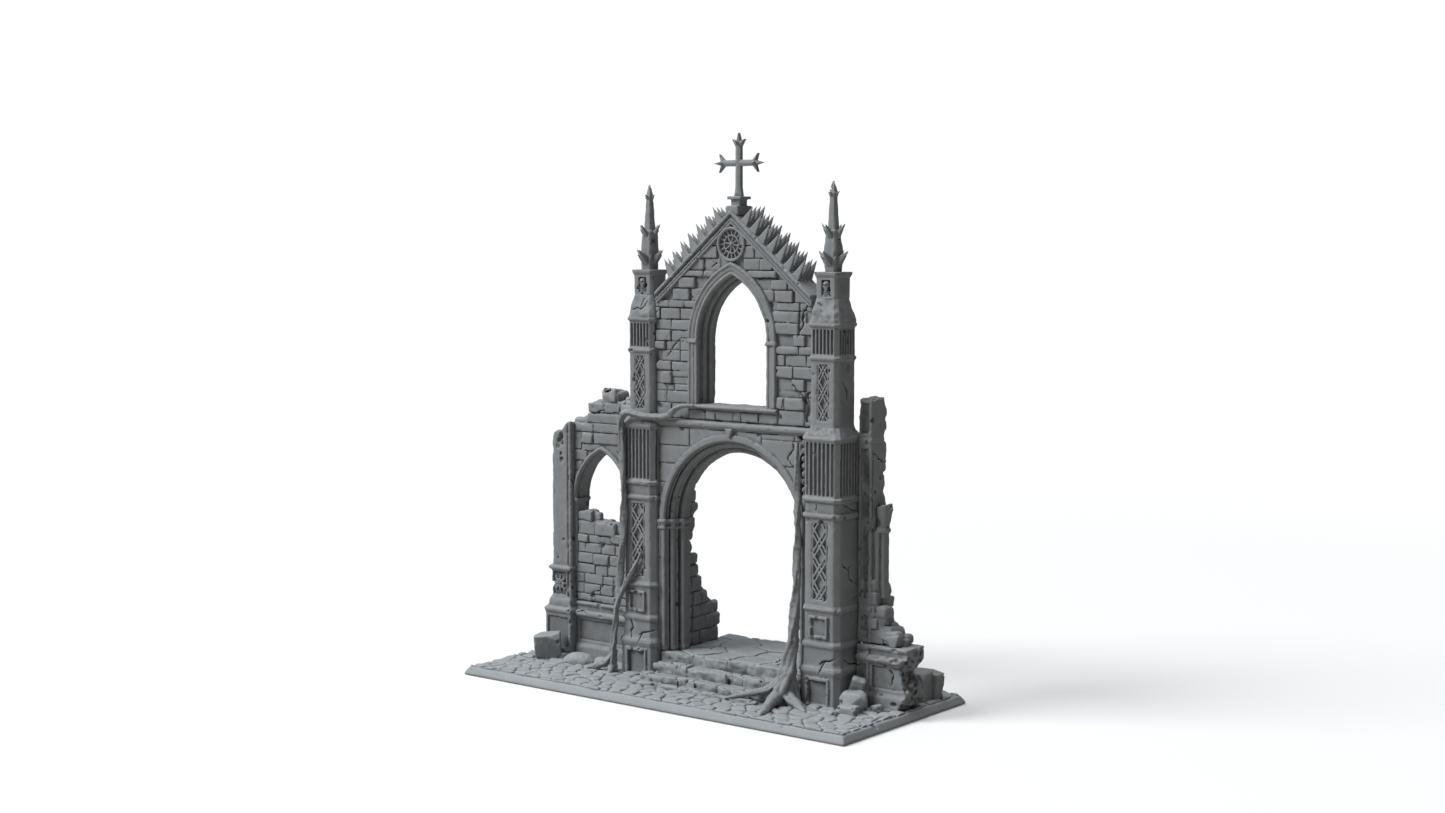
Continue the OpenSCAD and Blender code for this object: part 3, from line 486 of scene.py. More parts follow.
def surface(grid, adapt, small):
    """Points, triangles, quads and two hollowness values; islands below small go."""
    dist = np.clip(grid.dist, -3, 3)
    for side in (0, -1):
        dist[side] = dist[:, side] = dist[:, :, side] = 1
    volume = openvdb.FloatGrid(background=3.0)
    volume.copyFromArray(dist)
    points, tris, quads = volume.convertToPolygons(isovalue=0.0, adaptivity=adapt)
    tris, quads = tris.astype(np.int64), quads.astype(np.int64)
    edges = np.concatenate([tris[:, [0, 1]], tris[:, [1, 2]],
                            quads[:, [0, 1]], quads[:, [1, 2]], quads[:, [2, 3]]])
    label = islands(len(points), edges)
    count = np.bincount(label, minlength=len(points))
    keep = count[label] >= min(small, count.max() * 0.5)
    index = np.cumsum(keep) - 1
    tris, quads = index[tris[keep[tris[:, 0]]]], index[quads[keep[quads[:, 0]]]]
    points = points[keep].astype(np.float64)
    hollow = [sample(blur(dist, max(1, int(round(size / grid.step)))), points)
              for size in (0.7, 2.2)]
    return (grid.start + points) * grid.step / 1000.0, tris, quads, *hollow


def cast(node, *grids, name=None, slot="stone_casting", material=STONE, adapt=0.012, small=220):
    """One closed mesh object, in metres, that takes the place of a node."""
    parts = [surface(grid, adapt, small) for grid in grids]
    offsets = np.cumsum([0] + [len(part[0]) for part in parts])
    points = np.concatenate([part[0] for part in parts])
    tris, quads = [np.concatenate([part[k] + offset for part, offset in zip(parts, offsets)])
                   for k in (1, 2)]
    name = name or node + "_cast"
    mesh = bpy.data.meshes.new(name)
    mesh.vertices.add(len(points))
    mesh.vertices.foreach_set("co", points.astype(f32).ravel())
    loops = np.concatenate([tris.ravel(), quads.ravel()]).astype(np.int32)
    mesh.loops.add(len(loops))
    mesh.loops.foreach_set("vertex_index", loops)
    n_tris, n_quads = len(tris), len(quads)
    starts = np.concatenate([np.arange(n_tris) * 3, n_tris * 3 + np.arange(n_quads) * 4])
    mesh.polygons.add(n_tris + n_quads)
    mesh.polygons.foreach_set("loop_start", starts.astype(np.int32))
    mesh.update(calc_edges=True)
    mesh.polygons.foreach_set("use_smooth", np.ones(n_tris + n_quads, bool))
    # sunkenness at two scales, which the material turns into painted shade and a painted edge
    # highlight
    for k, label in ((3, "cav"), (4, "cav2")):
        layer = mesh.attributes.new(label, "FLOAT", "POINT")
        layer.data.foreach_set("value", np.concatenate([part[k] for part in parts]).astype(f32))
    mesh.materials.append(material)
    piece = bpy.data.objects.new(name, mesh)
    bpy.context.scene.collection.objects.link(piece)
    PIECES.append((piece, node, slot))


# ------------------------------------------------------------------ cracks
CRACK_SCALE = 0.52  # applied to every half width


def crack(points, half_width, axis, depth, seed, jitter=0.5):
    """Capsules along a jagged line, reaching depth along the axis."""
    rng = np.random.RandomState(seed)
    points = [np.array(point, float) for point in points]
    inward = "xyz".index(axis)
    path = [points[0]]
    for start, end in zip(points[:-1], points[1:]):
        count = max(1, int(np.linalg.norm(end - start) / 1.3))
        for k in range(1, count + 1):
            point = start + (end - start) * k / count
            if k < count:
                offset = rng.uniform(-jitter, jitter, 3)
                offset[inward] = 0
                point = point + offset
            path.append(point)
    half_width *= CRACK_SCALE
    squash = [1, 1, 1]
    squash[inward] = half_width / depth
    last = len(path) - 1
    shapes = []
    for i in range(last):
        r0, r1 = [half_width * (0.55 + 0.75 * math.sin(math.pi * min(1, 0.15 + 0.8 * t)))
                  for t in (i / last, (i + 1) / last)]
        vary = rng.uniform(0.75, 1.25)
        shapes.append(capsule(path[i], path[i + 1], r0 * vary, r1 * vary, squash))
    return shapes


# wall y, half width, depth, seed, jitter, then (x, z) points
FRONT_CRACKS = [
    # gable
    (-5, 0.4, 2.0, 3, 0.5, (-17.4, 138.6), (-15, 141.4), (-13.2, 143.6), (-11.6, 145.2),
     (-9.2, 146.6), (-6, 146.2)),
    (-5, 0.24, 1.2, 4, 0.5, (-8.6, 149.2), (-8.6, 146.4)),
    (-5, 0.22, 1.2, 5, 0.5, (-11.6, 145.2), (-6.8, 145.3)),
    (-5, 0.26, 1.2, 6, 0.5, (-18, 127), (-17.2, 123.4), (-18.8, 120.2)),
    (-5, 0.34, 1.6, 7, 0.5, (5.8, 175), (8.4, 177.4), (9.6, 177)),
    (-5, 0.22, 1.2, 8, 0.5, (4.6, 175.8), (8, 179)),
    (-5, 0.34, 2.2, 9, 0.4, (28, 171.3), (33, 171.6), (38.4, 171.2), (40, 172.2)),
    (-5, 0.5, 2.4, 10, 0.7, (49.6, 148.6), (50.4, 151), (52.4, 153.4), (51.4, 156),
     (53.4, 159.4), (55.6, 161.2), (57.6, 161.8)),
    (-5, 0.48, 2.4, 11, 0.6, (46.6, 129.6), (48.6, 128.6), (50.4, 126.6), (52.6, 124.8),
     (53.6, 121.6), (54.2, 118), (53.8, 115.6)),
    (-5, 0.34, 2.0, 12, 0.5, (54.6, 125.6), (55.4, 121), (55.2, 117.6)),
    (-5, 0.2, 1.0, 13, 0.5, (42.6, 124.2), (41.8, 119.6)),
    # spandrel
    (-5.2, 0.4, 1.8, 14, 0.5, (48.6, 109), (48.4, 104.2), (45.2, 100.2)),
    (-5.2, 0.26, 1.2, 15, 0.5, (45.2, 100.2), (47.6, 97.4), (49.8, 94.6)),
    # left wing
    (3.5, 0.34, 1.6, 16, 0.5, (-68.4, 31), (-66, 33.4), (-62, 34.6), (-61, 37)),
    (3.5, 0.22, 1.2, 17, 0.5, (-66, 33.4), (-65.8, 31)),
    (3.5, 0.26, 1.2, 18, 0.5, (-66.4, 45.6), (-65, 44.4), (-62, 45.6)),
    (3.5, 0.42, 2.6, 19, 0.5, (-68, 112.2), (-64, 111.8), (-60.6, 113)),
    (3.5, 0.42, 2.6, 20, 0.5, (-55, 112.4), (-51.4, 111.8), (-49, 113)),
    (3.5, 0.4, 2.0, 21, 0.5, (-53, 95.6), (-51, 93.4), (-49.4, 90)),
    (1.2, 0.4, 1.2, 22, 0.5, (-73.6, 23.6), (-70.6, 24.6), (-68, 23)),
    # towers
    (-10, 0.5, 1.8, 50, 0.5, (-33.6, 26.8), (-32.2, 23.6), (-33.6, 21.8), (-32.8, 19.2)),
    (-9.5, 0.3, 1.4, 51, 0.5, (61.6, 85), (62.2, 82.4), (61.2, 79.4)),
    (-8.9, 0.26, 1.0, 59, 0.5, (-29.4, 75), (-30.6, 70.6), (-29.6, 66)),
    # right wing
    (3.6, 0.4, 1.6, 58, 0.5, (74.6, 91), (77, 88.6), (79, 88)),
    (1.6, 0.42, 1.8, 60, 0.6, (84, 22.2), (88, 20.8), (90.6, 17.4), (89.4, 12)),
]
# wall x, half width, depth, seed, jitter, then (y, z) points
SIDE_CRACKS = [
    (72.2, 0.45, 1.8, 52, 0.6, (-5, 60.6), (-2, 58), (-0.6, 54), (2.6, 51.4)),
    (72.2, 0.3, 1.4, 53, 0.5, (-2, 58), (1, 59.4)),
    (72.2, 0.3, 1.2, 54, 0.5, (-5, 84), (0, 81.6), (5, 80.4)),
    (73.4, 0.4, 1.6, 55, 0.5, (-5.4, 22.8), (0, 20.2), (6, 18.6)),
    (70.4, 0.5, 1.6, 56, 0.6, (-3, 131.4), (-0.4, 128), (0, 124)),
    (79.2, 0.4, 1.8, 57, 0.5, (5, 104.6), (9, 101), (13.4, 99.6)),
]
# cracks run over whole walls, so every piece takes its share of this list
CRACKS = []
for level, width, depth, seed, jitter, *line in FRONT_CRACKS:
    CRACKS += crack([(x, level, z) for x, z in line], width, "y", depth, seed, jitter)
for level, width, depth, seed, jitter, *line in SIDE_CRACKS:
    CRACKS += crack([(level, y, z) for y, z in line], width, "x", depth, seed, jitter)
# a forked crack at the foot of each pedestal
for sign, seed in ((-1, 30), (1, 40)):
    x = MID_X + sign * TOWER_REACH
    CRACKS += crack([(x + 0.6, -10, 20.4), (x + 3.2, -10, 22), (x + 6.4, -10, 22.6),
                     (x + 9.4, -9, 23.6)], 0.42, "y", 1.6, seed)
    CRACKS += crack([(x + 3.2, -10, 22), (x + 1.6, -10, 18.6), (x + 0.8, -10, 16.4)],
                    0.34, "y", 1.6, seed + 1)


# ------------------------------------------------------------------ weathering
def finish(grid, seed, wear, rough, pits, chips, chip_size=1.0, cracks=True):
    """Cracks, chips, worn edges, skin and pits of the cast stone."""
    if cracks:
        first, last = [[axis[k] for axis in grid.axes] for k in (0, -1)]
        grid.cut(*[shape for shape in CRACKS
                   if np.all(shape[1] < np.array(last)) and np.all(shape[2] > np.array(first))])
    reach = max(1, int(round(0.8 / grid.step)))

    def curvature():
        dist = np.clip(grid.dist, -2.5, 2.5)
        return dist, blur(dist, reach) - dist

    dist, curve = curvature()
    rng = np.random.RandomState(seed * 31 + 5)
    edges = np.argwhere((np.abs(dist) < grid.step * 0.8) & (curve > 0.22))
    if len(edges):
        for index in edges[rng.randint(0, len(edges), chips)]:
            centre = grid.point(index) + rng.uniform(-0.5, 0.5, 3)
            radii = rng.uniform(0.5, 1.5, 3) * chip_size
            grid.cut(ellipsoid(centre, radii, rot(*rng.uniform(-60, 60, 3))))
    curve = curvature()[1]
    broad, fine = grid.noise(3.2, 3), grid.noise(1.1, 5)
    uneven = 0.25 + 1.25 * np.clip(broad + 0.35 * fine - 0.05, 0, 1)
    dist = grid.dist + wear * np.clip(curve - 0.03, 0, 1.2) * uneven
    dist = dist + 0.06 * rough * fine + 0.045 * rough * grid.noise(0.62, 8) + 0.045 * rough * broad
    grid.dist = dist + (0.5 * pits * np.clip(grid.noise(1.7, 11) - 0.78, 0, 1)
                        * np.clip(grid.noise(7.0, 12) + 0.3, 0, 1))


def dents(grid, *rows):
    """Scoops: centre x, y, z, radii x, y, z and, where turned, degrees about y."""
    for row in rows:
        turn = rot(0, row[6], 0) if len(row) > 6 else None
        grid.cut(ellipsoid(row[:3], row[3:6], turn))


def gash(grid, centre, size, count, seed):
    """Broken hollow: a cluster of small slanting cuts."""
    rng = np.random.RandomState(seed)
    for _ in range(count):
        place = np.array(centre) + rng.uniform(-1, 1, 3) * np.array(size) * 0.75
        half = np.array(size) * rng.uniform(0.25, 0.6, 3) + 0.15
        grid.cut(box_at(place, half, 0.08, rot(*rng.uniform(-40, 40, 3))))


# ------------------------------------------------------------------ stonework
def table(text, columns):
    """Rows of numbers from text."""
    return np.array(text.split(), float).reshape(-1, columns).tolist()


def blocks(grid, rows, y, side=-1, thick=2.6, gap=0.1, r=0.32, seed=1, tilt=1.0):
    """Ashlars (x0, x1, z0, z1, proud) on a wall face at y; side is the way the face looks."""
    rng = np.random.RandomState(seed)
    for x0, x1, z0, z1, proud in rows:
        face = y + side * proud
        turn = rot(rng.uniform(-tilt, tilt), rng.uniform(-tilt, tilt) * 0.5,
                   rng.uniform(-tilt, tilt))
        grid.add(box(x0 + gap, x1 - gap, face, face - side * thick, z0 + gap, z1 - gap, r, turn))


def courses(a0, a1, z0, z1, seed, heights=(3.2, 4.8), lengths=(5, 11), proud=(-0.15, 0.45)):
    """Random ashlar rows that fill a rectangle."""
    rng = np.random.RandomState(seed)
    rows = []
    z = z0
    while z < z1 - 1:
        height = min(rng.uniform(*heights), z1 - z)
        if z1 - z - height < 1.6:
            height = z1 - z
        a = a0 - rng.uniform(0, lengths[0])
        while a < a1:
            length = rng.uniform(*lengths)
            start, end = max(a, a0), min(a + length, a1)
            if end - start > 0.8:
                rows.append((start, end, z, z + height, rng.uniform(*proud)))
            a += length
        z += height
    return rows


def masonry(grid, outline, y0, y1, seed, rows=(), heights=(3.8, 5.6), lengths=(5, 10), keep=0.3,
            core=1.3, axis="y", tilt=2.0, r=0.55, gap=0.1, proud=(-0.25, 0.35)):
    """A ragged wall of whole stones within an outline of (along, up).

    y0 and y1 are the two faces on the axis; rows are ashlars given one by one on the y0 face.
    """
    X, Y, Z = grid.coords()
    U, V = (X, Y) if axis == "y" else (Y, X)
    middle = (y0 + y1) / 2
    sheet = np.abs(V - middle) - (y1 - y0) / 2 + 0.75
    filler = np.maximum(polygon(outline, U, Z) + core, sheet)
    grid.dist = np.minimum(grid.dist, filler).astype(f32)
    rng = np.random.RandomState(seed)
    (u0, v0), (u1, v1) = np.min(outline, 0).tolist(), np.max(outline, 0).tolist()

    def edge_distance(a0, a1, z0, z1):
        at = [np.full((1, 1), (low + high) / 2) for low, high in ((a0, a1), (z0, z1))]
        return polygon(outline, *at)[0, 0]

    for face in (0, 1):
        for a0, a1, z0, z1, out in courses(u0 - 1, u1 + 1, v0, v1, seed + face, heights, lengths,
                                           proud):
            inside = edge_distance(a0, a1, z0, z1)
            if inside > -keep:
                continue
            edge = inside > -2.6
            if face == 1:
                low, high = middle - 0.6, y1 + out
            elif any(a0 < q[1] and a1 > q[0] and z0 < q[3] and z1 > q[2] for q in rows):
                low, high = y0 + 0.7, middle + 0.6
            else:
                low, high = y0 - out, middle + 0.6
            if edge:
                a0, a1 = a0 - rng.uniform(-0.2, 0.5), a1 + rng.uniform(-0.2, 0.5)
            turn = rot(*(rng.uniform(-1, 1, 3) * tilt * (2.0 if edge else 0.6)))
            limits = (a0 + gap, a1 - gap, low, high)
            if axis == "x":
                limits = (low, high, a0 + gap, a1 - gap)
            radius = min(r * (1.9 if edge else 0.8), (z1 - z0) / 2 - 0.3)
            grid.add(box(*limits, z0 + gap, z1 - gap, radius, turn))
    kept = [row for row in rows if edge_distance(*row[:4]) < -0.2]
    blocks(grid, kept, y0, thick=3.2, seed=seed, gap=0.08, r=0.3, tilt=1.2)


def stone(grid, x, y, z, a, b, c, turn, seed, keep=0.82):
    """Angular broken stone: a box of half sizes a, b, c with five random faces cut."""
    rng = np.random.RandomState(seed)
    R = rot(rng.uniform(-9, 9), rng.uniform(-9, 9), turn)
    block, low, high = box_at((x, y, z), (a, b, c), 0.35, R)
    cuts = []
    for _ in range(5):
        n = rng.normal(size=3)
        n /= np.linalg.norm(n)
        cuts.append((n, keep * (abs(R @ np.diag([a, b, c]) @ R.T @ n)).sum() * 0.82))
    centre = np.array((x, y, z))

    def field(X, Y, Z):
        planes = [(X - centre[0]) * n[0] + (Y - centre[1]) * n[1] + (Z - centre[2]) * n[2] - d
                  for n, d in cuts]
        return meet(block(X, Y, Z), *planes)

    grid.add((field, low, high))


# ------------------------------------------------------------------ base slab, bevelled edges
BEVEL = 2.3
half_x, half_y = node_box("base_slab")[1][:2]
grid, X, Y, Z = node_grid("base_slab", 0.4)
sides = [(np.abs(axis) - half + BEVEL / BASE_TOP * Z) / 1.18
         for axis, half in ((X, half_x), (Y, half_y))]
grid.fill(meet(*sides, Z - (BASE_TOP - 0.12) - 0.10 * grid.noise(3.0, 21), -Z))
NICKS = [(-96, -43), (30, -44.2), (98.6, -20), (-60, -44), (99, 38), (70, -44.2), (4, -44.3)]
for k, (x, y) in enumerate(NICKS):
    grid.cut(ellipsoid((x, y, 2.9), (1.6 + 0.5 * (k % 3), 0.7, 0.9), rot(0, 0, 17 * k)))
near = np.clip(grid.dist, -2, 2)
curve = blur(near, 2) - near
grid.dist = grid.dist + np.clip(curve - 0.05, 0, 1) * 0.9 + 0.03 * grid.noise(1.2, 22)
grid.clip(-Z)
cast("base_slab", grid, slot="base_casting", material=GROUND, adapt=0.01)

# ------------------------------------------------------------------ cobbles
# footprints that the cobbles run up to: x0, x1, y0, y1
FOOTPRINTS = [(-19.8, 53, -25.2, 41), (-39.6, -20.2, -10, 9), (54, 73, -10, 9),
              (-89.5, -40, 1.8, 14), (-89.4, -75.4, -1.4, 14), (73, 95.6, 2, 14.4)]
COBBLE_X, COBBLE_Y = 6.9, 5.3  # pitches
COBBLE_FOOT = 3.35  # bottom of the joints


def paving():
    """Rounded stones from the cells of a jittered, staggered grid."""
    grid, X, Y, Z = new_grid((-97.6, -41.7, 3.2), (97.6, 41.7, 5.2), 0.3)
    rng = np.random.RandomState(77)
    shape = (int(230 / COBBLE_X) + 4, int(100 / COBBLE_Y) + 4)
    shift_x, shift_y = rng.uniform(-0.36, 0.36, shape), rng.uniform(-0.34, 0.34, shape)
    height = rng.uniform(-0.42, 0.3, shape)
    lean_x, lean_y = rng.uniform(-0.1, 0.1, (2, *shape))
    plan_x, plan_y = np.meshgrid(*grid.axes[:2], indexing="ij")
    warp_x, warp_y = grid.flat_noise(7.0, 31), grid.flat_noise(7.0, 32)
    U = (plan_x + 0.8 * warp_x + 110) / COBBLE_X
    V = (plan_y + 0.8 * warp_y + 50) / COBBLE_Y
    column, row = np.floor(U).astype(int), np.floor(V).astype(int)
    cells = []
    for di in (-2, -1, 0, 1, 2):
        for dj in (-1, 0, 1):
            i = np.clip(column + di, 0, shape[0] - 1)
            j = np.clip(row + dj, 0, shape[1] - 1)
            dx = U * COBBLE_X - (i + 0.5 + shift_x[i, j] + 0.5 * (j % 2)) * COBBLE_X
            dy = V * COBBLE_Y - (j + 0.5 + shift_y[i, j]) * COBBLE_Y
            cells.append((np.hypot(dx * 0.86, dy), i, j, dx, dy))
    cells = [np.stack(values) for values in zip(*cells)]
    order = np.argsort(cells[0], 0)
    nearest, i, j, dx, dy = [np.take_along_axis(values, order[:1], 0)[0] for values in cells]
    second = np.take_along_axis(cells[0], order[1:2], 0)[0]
    fine, finest = grid.flat_noise(1.3, 33), grid.flat_noise(0.7, 34)
    edge = (second - nearest) * 0.5 - 0.13 + 0.1 * fine
    top = (4.42 + 0.55 * height[i, j] + lean_x[i, j] * dx + lean_y[i, j] * dy
           + 0.05 * fine + 0.03 * finest)
    dome = 1 - np.exp(-np.clip(edge, 0, 3) / 0.42)
    top = (COBBLE_FOOT + (top - COBBLE_FOOT) * np.where(edge > 0, dome ** 0.55, 0)
           + np.clip(edge, -1, 0) * 1.2)
    # sunken patches
    top = top - 0.35 * np.clip(grid.flat_noise(9.0, 35) - 0.3, 0, 1)
    feet = [-np.maximum(np.abs(plan_x - (x0 + x1) / 2) - (x1 - x0) / 2,
                        np.abs(plan_y - (y0 + y1) / 2) - (y1 - y0) / 2)
            for x0, x1, y0, y1 in FOOTPRINTS]
    border = (np.abs(plan_x) - 97.2 + 0.5 * warp_x, np.abs(plan_y) - 41.3 + 0.4 * warp_y)
    grid.fill((Z - top[:, :, None]) * 0.8, meet(*feet, *border)[:, :, None], 3.5 - Z)
    return grid


cast("cobble_paving", paving(), slot="paving_casting", material=GROUND, adapt=0.006, small=60)


# ------------------------------------------------------------------ steps and landing
def flags(node, outline, top_z, cell, seed, cracks=(), uneven=0.3, ragged=1.0):
    """A step of broken flagstones, each with its own height, lean and broken end.

    outline is (x, y); cracks are lists of (x, y) points with a half width.
    """
    step = 0.3
    grid, X, Y, Z = node_grid(node, step, (0.4, 1.4, 0.5))
    xs, ys, _ = grid.axes
    plan_x, plan_y = np.meshgrid(xs, ys, indexing="ij")
    rng = np.random.RandomState(seed)
    columns = np.arange(xs[0] - cell[0], xs[-1] + cell[0], cell[0])
    rows = np.arange(ys[0] - cell[1], ys[-1] + cell[1], cell[1])
    centres = np.array([(x + rng.uniform(-0.36, 0.36) * cell[0] + (0.5 * cell[0] if k % 2 else 0),
                         y + rng.uniform(-0.3, 0.3) * cell[1])
                        for k, y in enumerate(rows) for x in columns])
    warp_x = grid.flat_noise(3.0, seed + 3) * 0.5
    warp_y = grid.flat_noise(3.0, seed + 4) * 0.5
    nearest, second = np.full(plan_x.shape, 1e9), np.full(plan_x.shape, 1e9)
    owner = np.zeros(plan_x.shape, int)
    for k, (x, y) in enumerate(centres):
        away = np.hypot((plan_x + warp_x - x), (plan_y + warp_y - y) * cell[0] / cell[1] * 0.8)
        closer = away < nearest
        second = np.where(closer, nearest, np.minimum(second, away))
        owner = np.where(closer, k, owner)
        nearest = np.where(closer, away, nearest)
    count = len(centres)
    lift = rng.uniform(-uneven, uneven * 0.7, count)
    lean_x, lean_y = rng.uniform(-0.03, 0.03, count), rng.uniform(-0.035, 0.02, count)
    end = rng.uniform(-ragged, ragged, count)
    top = (top_z - 0.1 + lift[owner] + lean_x[owner] * (plan_x - centres[owner, 0])
           + lean_y[owner] * (plan_y - centres[owner, 1]))
    joint = (second - nearest) * 0.5
    top = top - 0.75 * np.exp(-(joint / 0.2) ** 2) - 0.16 * np.exp(-joint / 0.6)
    layers = 0.2 * grid.noise((3.4, 3.4, 0.8), seed + 5) + 0.26 * grid.noise(1.3, seed + 6)
    side = polygon(outline, X, Y) + end[owner][:, :, None] * 0.8 + layers
    top = (top[:, :, None] + 0.10 * grid.noise((3.0, 3.0, 9), seed + 7)
           + 0.05 * grid.noise((1.0, 1.0, 5), seed + 8))
    chamfer = (Z - top + side + 0.25) * 0.7071 + 0.2 * grid.noise(1.7, seed + 9)
    grid.fill(meet(Z - top, side, chamfer))
    for line, width in cracks:
        grid.cut(*crack([(x, y, top_z) for x, y in line], width, "z", 2.4, seed + len(line), 0.45))
    rng = np.random.RandomState(seed * 7 + 1)
    rim = np.argwhere((np.abs(side) < step) & (np.abs(Z - top) < step))
    if len(rim):
        for index in rim[rng.randint(0, len(rim), 24)]:
            half = rng.uniform(0.6, 2.2), rng.uniform(0.4, 1.1), rng.uniform(0.5, 1.2)
            turn = rot(*rng.uniform(-35, 35, 3))
            grid.cut(box_at(grid.point(index) + (0, 0, 0.6), half, 0.1, turn))
    finish(grid, seed, wear=0.25, rough=0.7, pits=1.0, chips=14, cracks=False)
    grid.clip(BASE_TOP - Z)
    cast(node, grid, material=GROUND)


flags("landing_floor",
      [(-19.6, -6.2), (-2, -5.2), (4, -6.6), (10, -6.4), (17, -5.2), (24, -4.8), (30, -6.2),
       (36, -6), (43, -5), (53.4, -6.2), (53.4, 41), (30, 41.2), (14, 40.2), (6, 41), (-5, 38.9),
       (-12, 40.8), (-19.6, 40.8)],
      top_z=14.8, cell=(17, 12), seed=5, uneven=0.22, ragged=0.8,
      cracks=[([(-3, -5), (1, 2), (5, 8), (9, 10)], 0.45),
              ([(30, -5), (33, 4), (31, 9), (36, 14)], 0.5),
              ([(14, 14), (20, 18), (28, 17)], 0.4), ([(-12, 4), (-5, 9), (-8, 16)], 0.35),
              ([(40, 20), (34, 26), (38, 32)], 0.35)])
flags("step_upper",
      [(-19.6, -13.2), (-12, -12.6), (-4, -12.2), (2, -13.6), (8, -13.8), (15, -12.4),
       (22, -12.8), (30, -13.9), (38, -13), (44, -12.2), (49.8, -12.4), (49.8, -6.9),
       (-19.6, -6.9)],
      top_z=11.3, cell=(13, 9), seed=6, uneven=0.45, ragged=1.5,
      cracks=[([(-6, -13), (-3, -10), (-4, -7)], 0.4), ([(18, -13), (21, -9.6), (19, -7)], 0.35)])
flags("step_middle",
      [(-20.2, -19), (-14, -20.2), (-8, -20.4), (-1, -18.8), (6, -19), (13, -20.8), (20, -21),
       (27, -19.6), (34, -19.8), (45, -18), (45, -14.1), (-20.2, -14.1)],
      top_z=7.8, cell=(12, 8), seed=7, uneven=0.5, ragged=1.6,
      cracks=[([(4, -19), (6, -16), (5, -14)], 0.4)])
flags("step_lower",
      [(-20.8, -24.2), (-15, -25.4), (-9, -25.8), (-2, -24.6), (4, -25.2), (10, -26.6),
       (16, -26.8), (23, -25.4), (30, -25.6), (42, -23.4), (42, -21.5), (-20.8, -21.5)],
      top_z=5.6, cell=(10, 7), seed=8, uneven=0.4, ragged=1.5)

# ------------------------------------------------------------------ towers
# half width of a tower at each height
TOWER_Z = [3.7, 16.0, 16.6, 17.2, 18.2, 18.7, 19.6, 20.6, 26.4, 26.9, 27.4, 28.4, 29.2, 29.8,
           40.9, 41.3, 41.8, 42.5, 42.9, 43.8, 77.6, 78.1, 78.6, 79.5, 79.9, 80.4, 84.0, 84.4,
           84.9, 85.7, 86.1, 86.5, 108.1, 108.5, 109.2, 109.9, 112.4, 113.7,
           114.2, 139.3, 139.8, 140.3, 141.0, 141.4, 141.8, 152.4, 152.9, 153.4, 154.1, 154.6,
           158.5, 163.6, 164.0, 172.0, 172.3, 172.7, 173.1, 174.2]
TOWER_HALF = [9.7, 9.7, 9.9, 10.2, 10.25, 10.1, 9.45, 9.15, 9.0, 9.15, 9.5, 9.6, 9.2, 8.75,
              8.7, 8.9, 9.35, 9.4, 9.1, 8.65, 8.55, 8.8, 9.35, 9.4, 9.1, 8.55, 8.5, 8.75,
              9.4, 9.5, 9.2, 8.7, 8.7, 8.95, 9.25, 9.05, 7.5, 6.95,
              6.8, 6.8, 7.0, 7.45, 7.5, 7.2, 6.85, 6.85, 7.05, 7.5, 7.5, 7.25,
              6.55, 5.25, 5.1, 5.1, 5.3, 5.35, 5.75, 5.8]
# chamfer of the tower's corners at each height
CHAMFER_Z = [3, 100, 112, 160, 165, 175]
CHAMFER = [2.2, 2.1, 1.7, 1.6, 1.1, 0.9]
SPIRE_Z = [174, 176, 182, 184, 190.0, 190.4, 190.8, 197, 203.6, 204.0, 205.0, 205.4, 207.8,
           209.6, 210.0]
SPIRE_HALF = [2.75, 2.85, 3.05, 2.9, 2.5, 2.4, 1.95, 1.6, 1.2, 1.55, 1.55, 1.35, 0.85, 0.3, 0.0]


# the carvers take a grid, the tower's x and its side (-1 left, 1 right)
def panels(reach, frame_size, panel_size):
    """Framed sunk panels, front and back. Sizes: half width, y back, y out, z0, z1, rounding."""
    def carve(grid, x, sign):
        for face in (-1, 1):
            y = TOWER_Y + face * reach
            for act, size in ((grid.add, frame_size), (grid.cut, panel_size)):
                half, back, out, z0, z1, r = size
                act(box(x - half, x + half, y - face * back, y + face * out, z0, z1, r))
    return carve


def flute(grid, x, count, pitch, reach, z0, z1, r):
    """Upright grooves on all four faces."""
    for k in range(count):
        q = (k - (count - 1) / 2) * pitch
        for face in (-1, 1):
            a, b = x + face * reach, TOWER_Y + face * reach
            grid.cut(box(x + q - r, x + q + r, b - 0.75, b + 0.75, z0, z1, r * 0.95),
                     box(a - 0.75, a + 0.75, TOWER_Y + q - r, TOWER_Y + q + r, z0, z1, r * 0.95))


def carve_lower_shaft(grid, x, sign):
    grid.cut(box(x - 3.55, x + 3.55, TOWER_Y - 12, TOWER_Y - 8.6 + 1.5, 46.0, 76.2))
    if sign > 0:
        front = TOWER_Y - 9
        grid.cut(capsule((x - 5.6, front, 77.4), (x - 3.4, TOWER_Y - 9.2, 75.8), 0.8, 0.5),
                 capsule((x - 7.4, TOWER_Y - 8.6, 76.2), (x - 5.4, front, 77.2), 0.6, 0.8))


def carve_lower_frieze(grid, x, sign):
    flute(grid, x, count=7, pitch=2.0, reach=8.7, z0=86.9, z1=107.9, r=0.64)
    Z = grid.coords()[2]
    grid.dist = grid.dist + ((grid.noise(1.5, 61) * 0.28 + grid.noise(0.8, 62) * 0.14)
                             * smoothstep(109.4, 110.6, Z) * (1 - smoothstep(113.0, 113.8, Z)))


def carve_upper_shaft(grid, x, sign):
    grid.cut(box(x - 2.6, x + 2.6, TOWER_Y - 10, TOWER_Y - 6.8 + 1.5, 116.4, 138.3))
    if sign > 0:
        dents(grid, (x - 6.6, TOWER_Y - 6.4, 132, 1.2, 0.9, 1.6),
              (x - 5.4, TOWER_Y - 6.8, 134, 0.6, 0.6, 0.9),
              (x + 6.9, TOWER_Y + 1.2, 137, 0.6, 1.8, 2.4))


